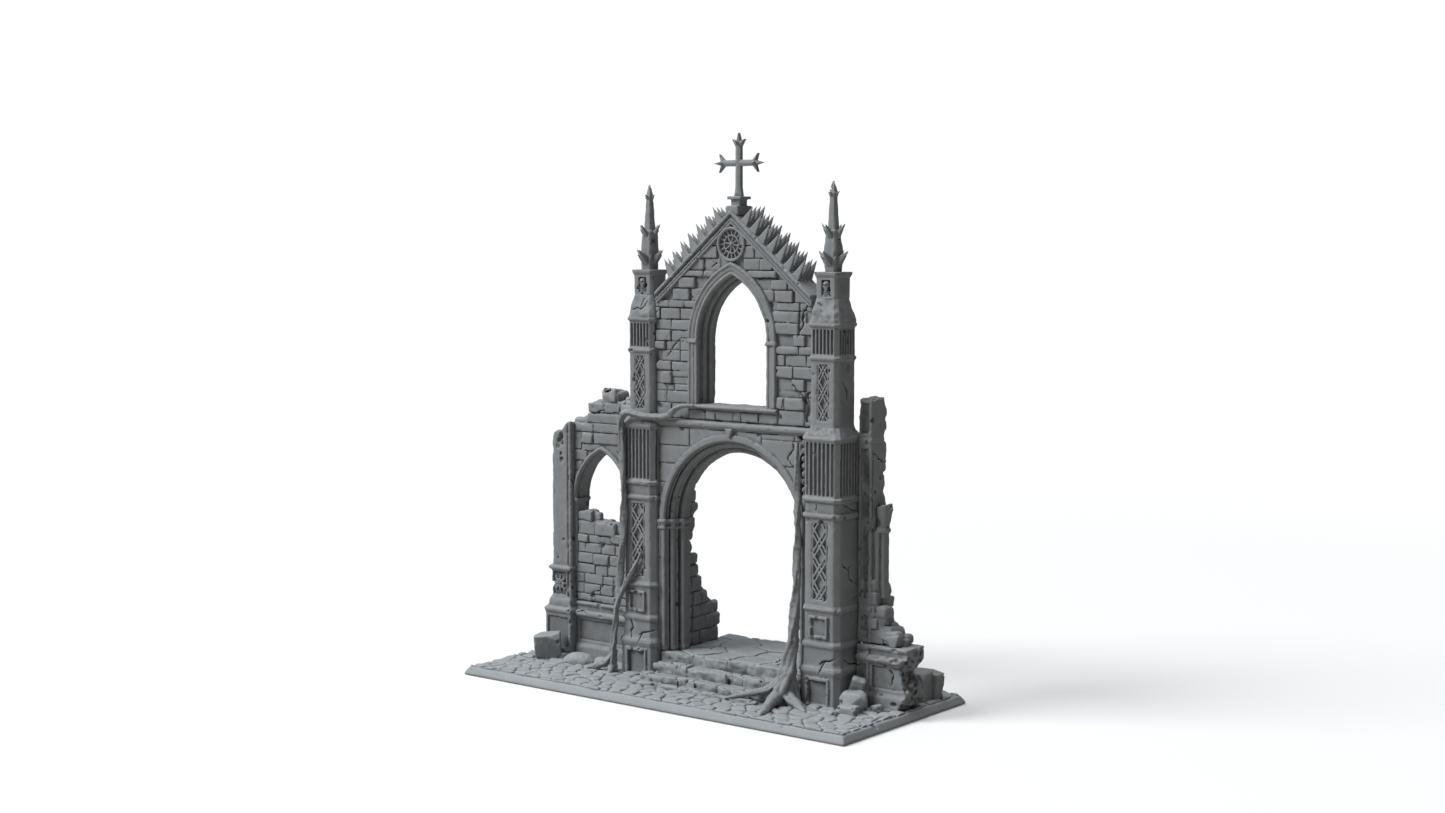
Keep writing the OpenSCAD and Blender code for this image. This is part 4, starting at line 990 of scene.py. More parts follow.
def carve_upper_frieze(grid, x, sign):
    flute(grid, x, count=6, pitch=1.72, reach=6.85, z0=142.2, z1=152.1, r=0.55)
    Z = grid.coords()[2]
    grid.dist = grid.dist + ((grid.noise(2.2, 63) * 0.3 + grid.noise(0.9, 64) * 0.15)
                             * smoothstep(154.4, 155.6, Z))
    if sign < 0:
        fork = (x + 0.4, TOWER_Y - 6, 157.8)
        grid.cut(*crack([(x - 4, TOWER_Y - 6.4, 157.6), (x - 1.6, TOWER_Y - 6.2, 158.6), fork,
                         (x + 3.4, TOWER_Y - 5.6, 161.4)], 0.32, "y", 1.4, 70),
                 *crack([fork, (x + 1.8, TOWER_Y - 5.4, 162.6)], 0.22, "y", 1.4, 71))
    else:
        dents(grid, (x - 1.2, TOWER_Y - 6.7, 159.2, 0.6, 0.6, 0.7),
              (x - 2.2, TOWER_Y - 6.0, 161.8, 1.6, 0.7, 0.5, 30),
              (x - 0.6, TOWER_Y - 6.9, 157, 0.4, 0.5, 0.5))


def carve_niche(grid, x, sign):
    grid.cut(box(x - 2, x + 2, TOWER_Y - 7, TOWER_Y - 2.7, 164.8, 171.2),
             capsule((x + 4.6, TOWER_Y - 3.6, 171.2), (x + 5.2, TOWER_Y + 0.4, 166.4), 0.2),
             capsule((x + 5.2, TOWER_Y - 1.2, 168.8), (x + 5.2, TOWER_Y + 1.2, 167.6), 0.16))


def carve_nothing(grid, x, sign):
    pass


# name, grid step, pad, carver, z0, z1, wear, roughness, pits, chips, chip size
TOWER_PIECES = [
    ("tower_plinth", 0.3, 0.9,
     panels(9.7, (5.7, 1, 0.75, 3.7, 15.3, 0.2), (4.4, 0.9, 2, 4.6, 14.0, 0.15)),
     3.7, 18.6, 0.5, 0.75, 1.0, 18, 0.8),
    ("tower_pedestal", 0.3, 0.5,
     panels(8.7, (4.5, 0.4, 1.15, 30.8, 39.6, 0.2), (3.45, 0.2, 3, 31.85, 38.5, 0.12)),
     18.35, 42.95, 0.5, 0.75, 1.0, 16, 0.85),
    ("tower_shaft_lower", 0.3, 0.4, carve_lower_shaft, 42.65, 85.85, 0.6, 0.8, 1.2, 18, 0.8),
    ("tower_frieze_lower", 0.24, 0.4, carve_lower_frieze, 85.55, 113.85, 0.16, 0.5, 0.5, 9, 0.55),
    ("tower_shaft_upper", 0.3, 0.4, carve_upper_shaft, 113.55, 141.45, 0.6, 0.8, 1.2, 14, 0.8),
    ("tower_frieze_upper", 0.24, 0.4, carve_upper_frieze, 141.15, 164.15, 0.2, 0.6, 0.8, 9, 0.6),
    ("niche_block", 0.24, 0.3, carve_niche, 163.85, 172.15, 0.35, 0.6, 0.8, 8, 0.5),
    ("tower_cap", 0.24, 0.3, carve_nothing, 171.85, 174.35, 0.5, 0.6, 0.8, 8, 0.5),
]


def spire(side, x, sign, seed):
    """Chamfered square that narrows in three lifts."""
    grid, X, Y, Z = node_grid("spire_" + side, 0.22, (0.3, 0.3, 0.3))
    half = grid.profile(SPIRE_Z, SPIRE_HALF)
    U, V = np.abs(X - x), np.abs(Y - TOWER_Y)
    grid.fill(meet(U - half, V - half, (U + V - 1.72 * half) * 0.7071) * 0.95)
    if sign < 0:
        dents(grid, (x + 2.8, TOWER_Y - 1, 186.4, 0.7, 1.4, 1.0),
              (x + 1.9, TOWER_Y - 1.6, 197, 0.6, 0.6, 1.6))
    else:
        dents(grid, (x + 2.4, TOWER_Y + 1.2, 188, 0.7, 1.0, 1.2),
              (x - 2.6, TOWER_Y - 2.0, 180.4, 0.6, 0.7, 1.2))
    calm = 1 - smoothstep(196, 203, Z)
    grid.dist = grid.dist + 0.16 * grid.noise((1.6, 1.6, 2.2), 64) * calm
    finish(grid, seed, wear=0.35, rough=0.8, pits=1.2, chips=8, chip_size=0.6)
    grid.clip(174.1 - Z)
    cast("spire_" + side, grid)


for sign, side, seed in ((-1, "left", 100), (1, "right", 200)):
    x = MID_X + sign * TOWER_REACH
    for k, (kind, step, pad, carve, z0, z1, *skin) in enumerate(TOWER_PIECES):
        node = kind + "_" + side
        grid, X, Y, Z = node_grid(node, step, (pad, pad, 0.15))
        U, V = np.abs(X - x), np.abs(Y - TOWER_Y)
        half = grid.profile(TOWER_Z, TOWER_HALF)
        chamfer = grid.profile(CHAMFER_Z, CHAMFER)
        grid.fill(meet(U - half, V - half, (U + V - (2 * half - chamfer)) * f32(0.7071)))
        carve(grid, x, sign)
        finish(grid, seed + k, *skin)
        grid.clip(z0 - Z, Z - z1)
        cast(node, grid)
    spire(side, x, sign, seed + len(TOWER_PIECES))


def thorn(x, y, angle, r0, r1, z0, z1, tip_z, half):
    """Leaning four sided pyramid that points away from the spire."""
    a = math.radians(angle)
    co, si = math.cos(a), math.sin(a)

    def at(r, t, z):
        return x + r * co - t * si, y + r * si + t * co, z

    base = [at(r0 - 0.5, t, z) for t, z in ((-half, z0), (half, z0), (half * 0.9, z1),
                                            (-half * 0.9, z1))]
    return spike(base, at(r1, 0, tip_z))


# tiers of thorns: inner radius, outer radius, z0, z1, tip z, half width
TIERS = [(3.05, 7.6, 175.6, 180.0, 183.0, 1.5), (2.75, 6.0, 186.8, 190.2, 193.6, 1.2),
         (1.5, 3.3, 203.2, 204.8, 206.0, 0.6)]
grids = []
for sign in (-1, 1):
    x, y = MID_X + sign * TOWER_REACH, TOWER_Y
    for tier, (r0, r1, z0, z1, tip_z, half) in enumerate(TIERS):
        grid = Grid((x - 8.2, y - 8.2, z0 - 0.5), (x + 8.2, y + 8.2, tip_z + 0.6), 0.24)
        for a in (0, 90, 180, 270):
            grid.add(thorn(x, y, a, r0, r1, z0, z1, tip_z, half))
            if tier < 2:
                grid.add(thorn(x, y, a + 45, r0 * 1.05, r1 * 0.72, z0 + 0.4, z1 - 0.4,
                               tip_z - 2.2, half * 0.6))
        grid.dist += 0.03 * grid.noise(0.9, 5) + 0.03 * grid.noise(2.0, 6)
        grids.append(grid)
cast("spire_thorns", *grids, adapt=0.001, small=30)


def skull(x):
    """Skull over three ribs in a tower's niche."""
    y = TOWER_Y
    grid = Grid((x - 1.95, y - 6.3, 164.7), (x + 1.95, y - 2.5, 171.3), 0.13)
    grid.add(ellipsoid((x, y - 4.5, 169.45), (1.38, 1.4, 1.4)))
    grid.add(box(x - 0.78, x + 0.78, y - 5.55, y - 3.6, 167.1, 168.7, 0.35), blend=0.3)
    for side in (-1, 1):
        grid.add(ellipsoid((x + side * 0.95, y - 5.1, 168.7), (0.42, 0.5, 0.3)), blend=0.2)
    for k in range(3):
        for side in (-1, 1):
            bend = (x + side * 1.3, y - 4.5, 166.55 - 0.72 * k)
            grid.add(capsule((x + side * 0.12, y - 5.1, 166.9 - 0.72 * k), bend, 0.27),
                     capsule(bend, (x + side * 1.45, y - 3.2, 166.8 - 0.72 * k), 0.27))
    grid.add(box(x - 1.7, x + 1.7, y - 4.9, y - 2.7, 164.7, 165.15, 0.12),
             capsule((x, y - 4.4, 165), (x, y - 4.4, 167.6), 0.5))
    # eyes, nose and gaps between the teeth
    dents(grid, (x - 0.55, y - 5.75, 169.25, 0.42, 0.75, 0.42),
          (x + 0.55, y - 5.75, 169.25, 0.42, 0.75, 0.42), (x, y - 5.85, 168.45, 0.2, 0.5, 0.3))
    for q in (-0.4, -0.13, 0.13, 0.4):
        grid.cut(box(x + q - 0.045, x + q + 0.045, y - 5.8, y - 5.35, 167.3, 168.0, 0.02))
    return grid


cast("niche_skulls", *[skull(MID_X + sign * TOWER_REACH) for sign in (-1, 1)],
     adapt=0.001, small=40)


def lattice_panel(x, half, z0, z1, reach, middle, half_pitch, r, gap, step):
    """Crossing pairs of diagonal rods in a tower's front panel."""
    y = TOWER_Y - reach
    grid, X, Y, Z = new_grid((x - half, y - 0.3, z0), (x + half, y + 1.7, z1), step)
    grid.add(box(x - half, x + half, y + 1.2, y + 1.7, z0, z1, 0.05),
             box(x - half, x - half + 0.45, y + 0.1, y + 1.6, z0, z1, 0.1),
             box(x + half - 0.45, x + half, y + 0.1, y + 1.6, z0, z1, 0.1))
    normal = np.array([half_pitch, half]) / math.hypot(half, half_pitch)
    z = middle
    while z > z0 - half_pitch:
        z -= 2 * half_pitch
    while z < z1 + half_pitch:
        for sx in (-1, 1):
            for sz in (-1, 1):
                y_start, y_end = (0.25, 0.6) if sx * sz > 0 else (0.6, 0.3)
                for offset in (-gap, gap):
                    dx, dz = sx * sz * -normal[0] * offset, normal[1] * offset
                    end = (x + sx * half * 1.12 + dx, y + y_end, z + sz * half_pitch * 1.12 + dz)
                    grid.add(capsule((x + dx, y + y_start, z + dz), end, r))
        z += 2 * half_pitch
    grid.dist += 0.035 * grid.noise(1.0, 5)
    grid.clip(np.abs(X - x) - half, z0 - Z, Z - z1, y - Y)
    return grid


LATTICES = {
    "lower": dict(half=3.5, z0=46.05, z1=76.15, reach=8.6, middle=57.8, half_pitch=5.2,
                  r=0.46, gap=0.78, step=0.17),
    "upper": dict(half=2.55, z0=116.45, z1=138.25, reach=6.8, middle=127.2, half_pitch=4.3,
                  r=0.36, gap=0.62, step=0.15),
}
for level, size in LATTICES.items():
    grids = [lattice_panel(MID_X + sign * TOWER_REACH, **size) for sign in (-1, 1)]
    cast("lattice_panels_" + level, *grids, name="lattice_%s_cast" % level,
         adapt=0.0005, small=60)

# ------------------------------------------------------------------ portal
SPRING_Z = 70.3  # where the round arch starts
# radius and front y of each order, and the front y of its foot block
ORDERS = [(34.8, -5.2, -5.4), (32.2, -2.2, -2.5), (29.6, 1.0, 0.7)]
# moulding parts in (radius from the portal's centre, y)
ARCH_EDGE = [("bar", 35.0, 37.7, -6.1, -4, 0.25), ("cove", 34.5, -4.2, 0.75),
             ("roll", 35.15, -5.3, 0.55)]
JAMB_EDGE = [("roll", 35.9, -4.9, 1.0), ("roll", 37.6, -5.3, 0.6), ("cove", 36.85, -5.9, 0.42)]
INNER_PARTS = [("cove", 34.9, -2.6, 0.8), ("roll", 33.5, -2.0, 1.15), ("cove", 32.3, 0.3, 0.8),
               ("roll", 34.75, -3.6, 0.45), ("roll", 30.8, 1.6, 1.15),
               ("roll", 32.2, -0.6, 0.42), ("cove", 29.3, 3.5, 0.5), ("roll", 30.1, 4.5, 0.5)]


def portal_radius(X, Z):
    rise = np.sqrt((X - MID_X) ** 2 + (Z - SPRING_Z) ** 2)
    return np.where(Z > SPRING_Z, rise, np.abs(X - MID_X))


def portal_section(X, Y, Z, jamb=False):
    """The three stepped orders, and the radius from the portal's centre."""
    radius = portal_radius(X, Z)
    outer = 38.6 if jamb else 37.8
    parts = [("bar", 34.9, outer, -5.7, 5.0), ("bar", 32.5, outer, -2.3, 5.0),
             ("bar", 29.7, outer, 0.9, 5.0)]
    edge = JAMB_EDGE if jamb else ARCH_EDGE
    return moulding(radius, Y, parts + edge + INNER_PARTS), radius


for order, y0, y1 in (("outer", -6.4, -2.2), ("middle", -2.35, 1.0), ("inner", 0.85, 5.05)):
    grid, X, Y, Z = node_grid("portal_arch_" + order, 0.3, (0.4, 0.3, 0.2))
    limits = (y0 - Y, Y - y1, 70.2 - Z)
    grid.fill(portal_section(X, Y, Z)[0], *limits)
    if order == "outer":
        dents(grid, (50.2, -5.6, 84, 1.0, 1.4, 2.6, 20), (-8.4, -6, 97.5, 0.8, 0.6, 0.8),
              (29.2, -6.1, 105.6, 0.9, 0.6, 0.7))
    finish(grid, 300, wear=0.5, rough=0.7, pits=0.8, chips=8, chip_size=0.6)
    grid.clip(*limits)
    cast("portal_arch_" + order, grid)

for sign, side in ((-1, "left"), (1, "right")):
    grid, X, Y, Z = node_grid("portal_jamb_" + side, 0.3, (0.8, 0.5, 0.2))
    dist, radius = portal_section(X, Y, Z, jamb=True)
    grid.fill(dist, np.where((X - MID_X) * sign > 0, -9, 9), radius - 38.3)
    outer = MID_X + sign * 38.2
    for reach, y, foot_y in ORDERS:
        inner = MID_X + sign * (reach - 0.2)
        grid.add(box(inner, outer, foot_y, 5.0, 14.8, 16.8, 0.25),
                 box(inner + sign * 0.35, outer - sign * 0.3, y - 0.05, 5.0, 16.8, 17.6, 0.3))
    finish(grid, 310, wear=0.5, rough=0.8, pits=1.0, chips=10, chip_size=0.7)
    grid.clip(14.75 - Z, Z - 66.35)
    cast("portal_jamb_" + side, grid)

# imposts swell out from the jambs: height, overhang
IMPOST_Z = [65.9, 66.2, 66.5, 67.1, 67.4, 68.6, 69.0, 69.9, 70.2, 70.6]
IMPOST_OUT = [0.1, 0.4, 0.75, 0.8, 0.35, 0.5, 1.0, 1.05, 0.7, 0.5]
IMPOST_STEPS = [("bar", 34.9, 38.6, -5.5, 5, 0.3), ("bar", 32.3, 38.6, -2.5, 5, 0.3),
                ("bar", 29.7, 38.6, 0.6, 5, 0.3)]
grids = []
for sign in (-1, 1):
    x0, x1 = sorted((MID_X + sign * 28.6, MID_X + sign * 38.6))
    grid, X, Y, Z = new_grid((x0, -7, 65.9), (x1, 5.2, 70.6), 0.26)
    dist, radius = portal_section(X, Y, Z, jamb=True)
    dist = np.minimum(dist, moulding(radius, Y, IMPOST_STEPS))
    grid.fill(dist - grid.profile(IMPOST_Z, IMPOST_OUT))
    finish(grid, 315, wear=0.6, rough=0.8, pits=1.0, chips=6, chip_size=0.6)
    grid.clip(66.15 - Z, Z - 70.45, Y - 5.05, np.abs(X - MID_X) - 38.4)
    grids.append(grid)
cast("portal_imposts", *grids)

# wall round the arch; ashlar tables hold x0, x1, z0, z1, proud
SPANDREL_ROWS = table("""
    -21.6 -12 70.3 78 0        -21.6 -8 78.2 86 0.05      -21.6 -8 86.2 94 0
    -21.6 -5.2 94.2 101.6 0    -21.6 -5.2 101.9 109.5 0.12  -4.9 17 101.9 109.5 0
    17.2 32 101.9 109.5 0.05   32.2 50.4 96.8 107 0.2     32.2 55.2 107.1 109.5 0
    50.6 55.2 96.9 107 -0.2    38 55.2 86 96.6 0          42 55.2 70.3 85.8 0""", 5)
grid, X, Y, Z = node_grid("portal_spandrel_wall", 0.3, (0.3, 0.6, 0.2))
grid.add(box(MID_X - 38.3, MID_X + 38.3, -4.7, 4.6, 70.3, 109.5, 0.1))
blocks(grid, SPANDREL_ROWS, -5.2, seed=5, gap=0.06, r=0.28, tilt=0.5)
back = courses(MID_X - 38.2, MID_X + 38.2, 70.3, 109.5, 8, (4.4, 6.0), (8, 15), (-0.25, 0.1))
blocks(grid, back, 4.95, 1, seed=6, gap=0.08, r=0.3, tilt=0.4)
grid.clip(37.4 - portal_radius(X, Z))
# upright gouge beside the right tower, with rubble left in it
jagged = grid.noise(1.6, 71) * 0.7 + grid.noise(0.8, 72) * 0.35
gouge = np.maximum(np.abs(X - 52.3 - 0.5 * np.sin(Z * 0.5)) - 1.5, Y + 2.6) + jagged
grid.clip(-np.maximum(gouge, 84 - Z))
for z in np.arange(85, 108, 3.1):
    grid.add(ellipsoid((52.3 + 0.5 * math.sin(z), -3.2, z), (1.1, 1.6, 1.5),
                       rot(0, 25 * math.sin(3 * z), 0)))
finish(grid, 320, wear=0.7, rough=0.9, pits=1.2, chips=12)
grid.clip(np.abs(X - MID_X) - 38.4, Z - 109.5)
cast("portal_spandrel_wall", grid, name="portal_spandrel_cast")

# cornice with a wedge at its middle
CORNICE = [(5.3, 109.3), (-5.3, 109.3), (-5.45, 109.9), (-6.1, 110.3), (-6.75, 111.0),
           (-6.8, 112.1), (-6.3, 112.55), (-5.5, 112.9), (5.3, 113.0)]
grid, X, Y, Z = node_grid("cornice", 0.28, (0.3, 0.4, 0.2))
grid.add(prism(CORNICE, MID_X - 40.2, MID_X + 40.2),
         solid([(0, 1, 2), (3, 4, 5), (0, 1, 3), (1, 2, 4), (2, 0, 5)],
               [(MID_X - 2.3, -5.4, 110.4), (MID_X + 2.3, -5.4, 110.4), (MID_X, -5.4, 105.6),
                (MID_X - 2.1, -7.5, 110.6), (MID_X + 2.1, -7.5, 110.6), (MID_X, -6.9, 105.8)]))
dents(grid, *[(x, -6.9, 111 + 0.5 * math.sin(x), r * 1.4, 0.5, r)
              for x, r in ((-14, 0.8), (3, 0.5), (24, 0.6), (37, 0.9), (46, 0.6))])
finish(grid, 330, wear=0.6, rough=0.8, pits=1.0, chips=10, chip_size=0.8)
grid.clip(np.abs(X - MID_X) - 40.2, Z - 113.15)
cast("cornice", grid)

# ------------------------------------------------------------------ gable storey
LANCET_HALF = 17.6
LANCET_SPRING = 146.0
LANCET_RISE = 26.6
LANCET_RADIUS = (LANCET_HALF * LANCET_HALF + LANCET_RISE * LANCET_RISE) / (2 * LANCET_HALF)
APEX_Z = 198.6
SLOPE = math.tan(math.radians(40))
SLOPE_COS = math.cos(math.radians(40))
GABLE_ROWS = table("""
    -23.4 -15.2 113.2 119.3 .1    -15 -6 113.2 119.3 0        -23.4 -17.8 119.5 124.5 0
    -17.6 -5 119.5 124.5 .1       -23.4 -13.6 124.6 127.2 .05 -13.4 -5 124.6 127.2 .2
    -23.4 -20.4 127.3 132.7 -.1   -20.3 -14.6 127.4 132.6 .85 -14.5 -5 127.3 130.1 -.15
    -14.5 -5 130.3 132.7 .1       -23.4 -15.1 132.8 136.8 .45 -14.9 -5 132.8 136.5 .15
    -23.4 -20.3 137 141.3 -.3     -20.2 -10.3 136.9 141.3 .1  -10.1 -5 136.8 141.2 .2
    -23.2 -18 141.5 144.8 .95     -17.8 -10.4 141.4 145 0     -10.2 -5 141.3 145 .2
    -23.4 -15.1 145.1 149.6 .5    -14.8 -5 145.1 149.5 .25    -23.4 -15.1 149.8 154 .05
    -14.8 -4 149.7 153.9 .55      -23.2 -20.9 154.1 158.9 .65 -20.4 -10.3 154.1 158.7 .3
    -10.1 -3 154.1 158.7 .2       -23.4 -16 159 161.9 .45     -15.9 -8 159 161.9 .5
    -7.9 0 159 161.9 .45          -23.4 -20.6 162 167 .2      -20.2 -14.2 162.1 166.9 -.45
    -14 -5.3 162.1 166.8 .45      -4.4 4 162 167 .15          -20 -11.1 167.1 171.7 .1
    -10.8 -2.2 167.1 171.5 .65    -2 6 167.1 171.7 -.5        -13 -8.2 171.9 174.3 0
    -8 2 171.8 174.3 .55          2.1 8 171.8 174.3 .45       -5 2.1 174.5 179.2 .2
    2.8 10.6 174.5 179.2 -.2      -1 9 179.4 184.3 .35        3 11 184.5 188.6 .1
    8 12 188.7 192 0
    8 17 113.3 117.4 -.1          -5.8 2.5 113.3 117.4 0      2.7 7.9 113.3 117.4 .05
    17.2 21 113.3 117.4 0         21.2 30 113.3 117.4 .1      30.2 39.4 113.3 117.4 0
    40.2 52.6 113.3 119.3 .15     52.8 57 113.3 119.3 -.1     38 43.2 119.5 124.4 .55
    43.3 53 119.5 124.4 .6        53.2 57 119.5 124.4 -.1     39 50 124.6 127 -.3
    50.4 57 124.8 127 .45         39 46.7 127.2 131.9 -.35    46.8 53 127.1 131.8 .5
    53.2 57 127.1 132 -.9         39 47.3 132.1 136.7 .55     47.8 57 132.1 136.7 .6
    39 43 136.9 141.3 .1          43.4 53.5 136.9 141.3 -.15  53.8 57 136.9 141.3 0
    38.6 50 141.5 144.7 .5        50.2 57 141.5 144.7 .4      39 47.5 144.9 149.4 -.55
    47.6 53.2 144.9 149.3 .5      53.3 57 144.9 149.4 -.95    37.6 50 149.5 154 .5
    50.4 57 149.5 154 .3          36 50 154.1 158.6 .45       50.6 53.6 154.1 158.6 .1
    53.8 57 154.1 158.6 -.4       34.6 38.8 158.8 162 -.95    39 50.4 158.8 161.9 .35
    50.6 57 158.8 162 0           30 37.6 162.1 166.8 -.05    38.4 47.3 162.1 166.7 .7
    48.2 54.6 162.1 166.8 .15     26 36 167 171 -.3           36.2 44.3 167 171 .35
    44.5 52 167 171 0             25 40 171.6 174.5 .7        40.8 46 171.2 175 -.3
    22.6 30.8 174.7 179.3 .15     31 37 174.7 179.2 .5        37.2 42 174.7 179.3 0
    22 28 179.5 184.3 .3          28.2 36 179.5 184.3 .1      20 30 184.5 188.6 .15
    20 26 188.8 192 0""", 5)


def lancet_distance(X, Z, grow=0.0):
    return pointed(X, Z, LANCET_HALF + grow, LANCET_RADIUS + grow, MID_X, LANCET_SPRING)


grid, X, Y, Z = node_grid("gable_wall", 0.3, (0.3, 0.5, 0.2))
grid.add(box(MID_X - 40.2, MID_X + 40.2, -3.9, 4.4, 113, 197, 0.1))
blocks(grid, [(*row, (proud - 0.15) * 1.35 + 0.1) for *row, proud in GABLE_ROWS], -4.6,
       thick=3.0, seed=11, gap=0.08, r=0.22, tilt=1.3)
back = courses(MID_X - 40.1, MID_X + 40.1, 113.1, 197, 12, (3.4, 5.0), (6, 12), (-0.35, 0.15))
blocks(grid, back, 4.85, 1, seed=13, gap=0.08, r=0.3, tilt=0.7)
grid.clip(np.where(Z > 119.2, -lancet_distance(X, Z, grow=4.6), -9),
          (Z - (APEX_Z - 2.2 - np.abs(X - MID_X) * SLOPE)) * SLOPE_COS)
grid.cut(box(MID_X - 23.5, MID_X + 23.5, -8, 6, 117.5, 119.4, 0.1))
# broken strip along the right tower
jagged = grid.noise(1.5, 73) * 0.5 + grid.noise(0.8, 74) * 0.3
strip = np.abs(X - 54.2 - 0.6 * np.sin(Z * 0.9)) - 0.75 + jagged
grid.clip(-meet(strip, Y + 3.2, 115 - Z, Z - 127))
dents(grid, (-21.5, -4.6, 118, 1.8, 1.0, 0.9, 20), (39.9, -5, 173.2, 0.8, 1.4, 1.3, 20),
      (48, -5.2, 129.2, 0.8, 0.7, 0.6, 20), (41.2, -4.8, 116.4, 0.9, 0.8, 1.2, 20),
      (7.6, -4.8, 177.6, 1.6, 0.9, 0.9, 20), (52.3, -4.8, 156.6, 0.9, 1.2, 1.6, 20),
      (55.4, -4.8, 161, 1.5, 1.2, 0.6, 20))
finish(grid, 340, wear=0.55, rough=0.85, pits=1.1, chips=30, chip_size=0.8)
grid.clip(np.abs(X - MID_X) - 40.3, 112.9 - Z)
cast("gable_wall", grid)

# moulding parts in (distance outward from the lancet's opening, y)
LANCET_PARTS = [("bar", 0.0, 4.9, -5.1, 5.0, 0.2), ("roll", 4.15, -5.15, 0.78),
                ("bar", 1.9, 4.9, -5.45, 0, 0.2), ("roll", 0.75, -4.75, 0.78),
                ("cove", 1.75, -5.75, 0.42), ("bar", -1.2, 4.9, -1.5, 5.0, 0.2),
                ("cove", -0.1, -2.6, 1.0), ("roll", -0.35, -1.1, 0.85),
                ("bar", -2.3, 4.9, 0.9, 4.2, 0.2), ("cove", -1.5, 0.35, 0.7),
                ("roll", -1.6, 1.7, 0.85), ("cove", -2.6, 3.1, 0.55), ("roll", -0.4, 4.3, 0.7)]


def lancet(node, y0, y1, seed):
    """The part of the window's moulding between two depths."""
    grid, X, Y, Z = node_grid(node, 0.28, (0.6, 0.5, 0.3))
    out = lancet_distance(X, Z)
    grid.fill(moulding(out, Y, LANCET_PARTS), y0 - Y, Y - y1, out - 4.95, 119.35 - Z)
    if node == "lancet_frame":
        for sign in (-1, 1):
            inner = MID_X + sign * (LANCET_HALF - 0.1)
            outer = MID_X + sign * (LANCET_HALF + 5.4)
            grid.add(box(inner, outer, -6.3, -3, 144.7, 145.5, 0.25),
                     box(inner + sign * 0.2, outer - sign * 0.2, -6.05, -3, 145.3, 146.3, 0.3))
        dents(grid, (35.0, -5.2, 154.6, 0.9, 1.2, 0.7), (-2.8, -5.6, 139, 0.5, 0.4, 0.6),
              (33.6, -5, 126, 0.5, 0.6, 1.2))
    finish(grid, seed, wear=0.5, rough=0.75, pits=0.8, chips=8, chip_size=0.6)
    grid.clip(119.3 - Z, y0 - 0.9 - Y, Y - y1)
    cast(node, grid)


lancet("lancet_frame", -6.2, -1.4, 350)
lancet("lancet_reveal", -1.6, 5.0, 351)

SILL = [(5.1, 117.35), (-5.3, 117.35), (-5.5, 117.8), (-6.3, 118.1), (-6.8, 118.4),
        (-6.8, 119.0), (-6.2, 119.45), (-4.2, 119.75), (5.1, 119.75)]
grid, X, Y, Z = node_grid("lancet_sill", 0.28, (0.3, 0.4, 0.4))
grid.add(prism(SILL, MID_X - 23.5, MID_X + 23.5))
finish(grid, 355, wear=0.6, rough=0.8, pits=1.0, chips=10, chip_size=0.7)
cast("lancet_sill", grid)

# rose medallion: rims, 16 outer and 8 inner spokes and a boss
x, z = MID_X - 0.1, 185.0
grid, X, Y, Z = new_grid((x - 7.4, -6.4, z - 7.4), (x + 7.4, -3.4, z + 7.4), 0.16)
radius, angle = polar(X, Z, x, z)
outer_spokes = np.abs(radius * np.sin(sector(angle, 16)))
inner_spokes = np.abs(radius * np.sin(sector(angle, 8, 0.2)))
rose = join(
    meet(radius - 7.0, -3.95 - Y, Y + 3.6),
    roll(radius, Y, 6.45, -5.1, 0.66),
    bar(radius, Y, 5.9, 6.9, -5.0, -3.6),
    bar(radius, Y, 3.3, 3.85, -5.1, -3.6, 0.12),
    meet(bar(outer_spokes, Y, -0.3, 0.3, -4.85, -3.6, 0.1), 3.4 - radius, radius - 6.1),
    meet(bar(inner_spokes, Y, -0.28, 0.28, -4.9, -3.6, 0.1), radius - 3.6),
    roll(radius, Y, 0, -4.8, 0.75))
grid.fill(rose + 0.03 * grid.noise(0.9, 5), Y + 3.62)
cast("rose_medallion", grid, adapt=0.0)

# moulding parts in (depth below the gable's slope, y)
COPING_PARTS = [("bar", 0.0, 1.25, -6.25, 5.5, 0.22), ("bar", 1.0, 2.2, -5.0, 5.0, 0.1),
                ("bar", 1.9, 4.3, -5.05, -3.6, 0.1), ("roll", 2.55, -5.15, 0.5),
                ("bar", 3.3, 4.2, -5.75, -4, 0.25), ("cove", 1.65, -5.45, 0.42)]
grid, X, Y, Z = node_grid("gable_coping", 0.25, (0.5, 0.5, 0.3))
below = ((APEX_Z - np.abs(X - MID_X) * SLOPE) - Z) * SLOPE_COS
grid.fill(moulding(below, Y, COPING_PARTS), np.abs(X - MID_X) - 39.9)
dents(grid, *[(x, -6.3, APEX_Z - abs(x - MID_X) * SLOPE - 0.4, r * 1.3, 0.5, r)
              for x, r in ((-14, 0.8), (-3.4, 0.6), (30, 0.7), (44, 0.9), (51, 0.6))])
finish(grid, 360, wear=0.22, rough=0.55, pits=0.6, chips=10, chip_size=0.6, cracks=False)
cast("gable_coping", grid)


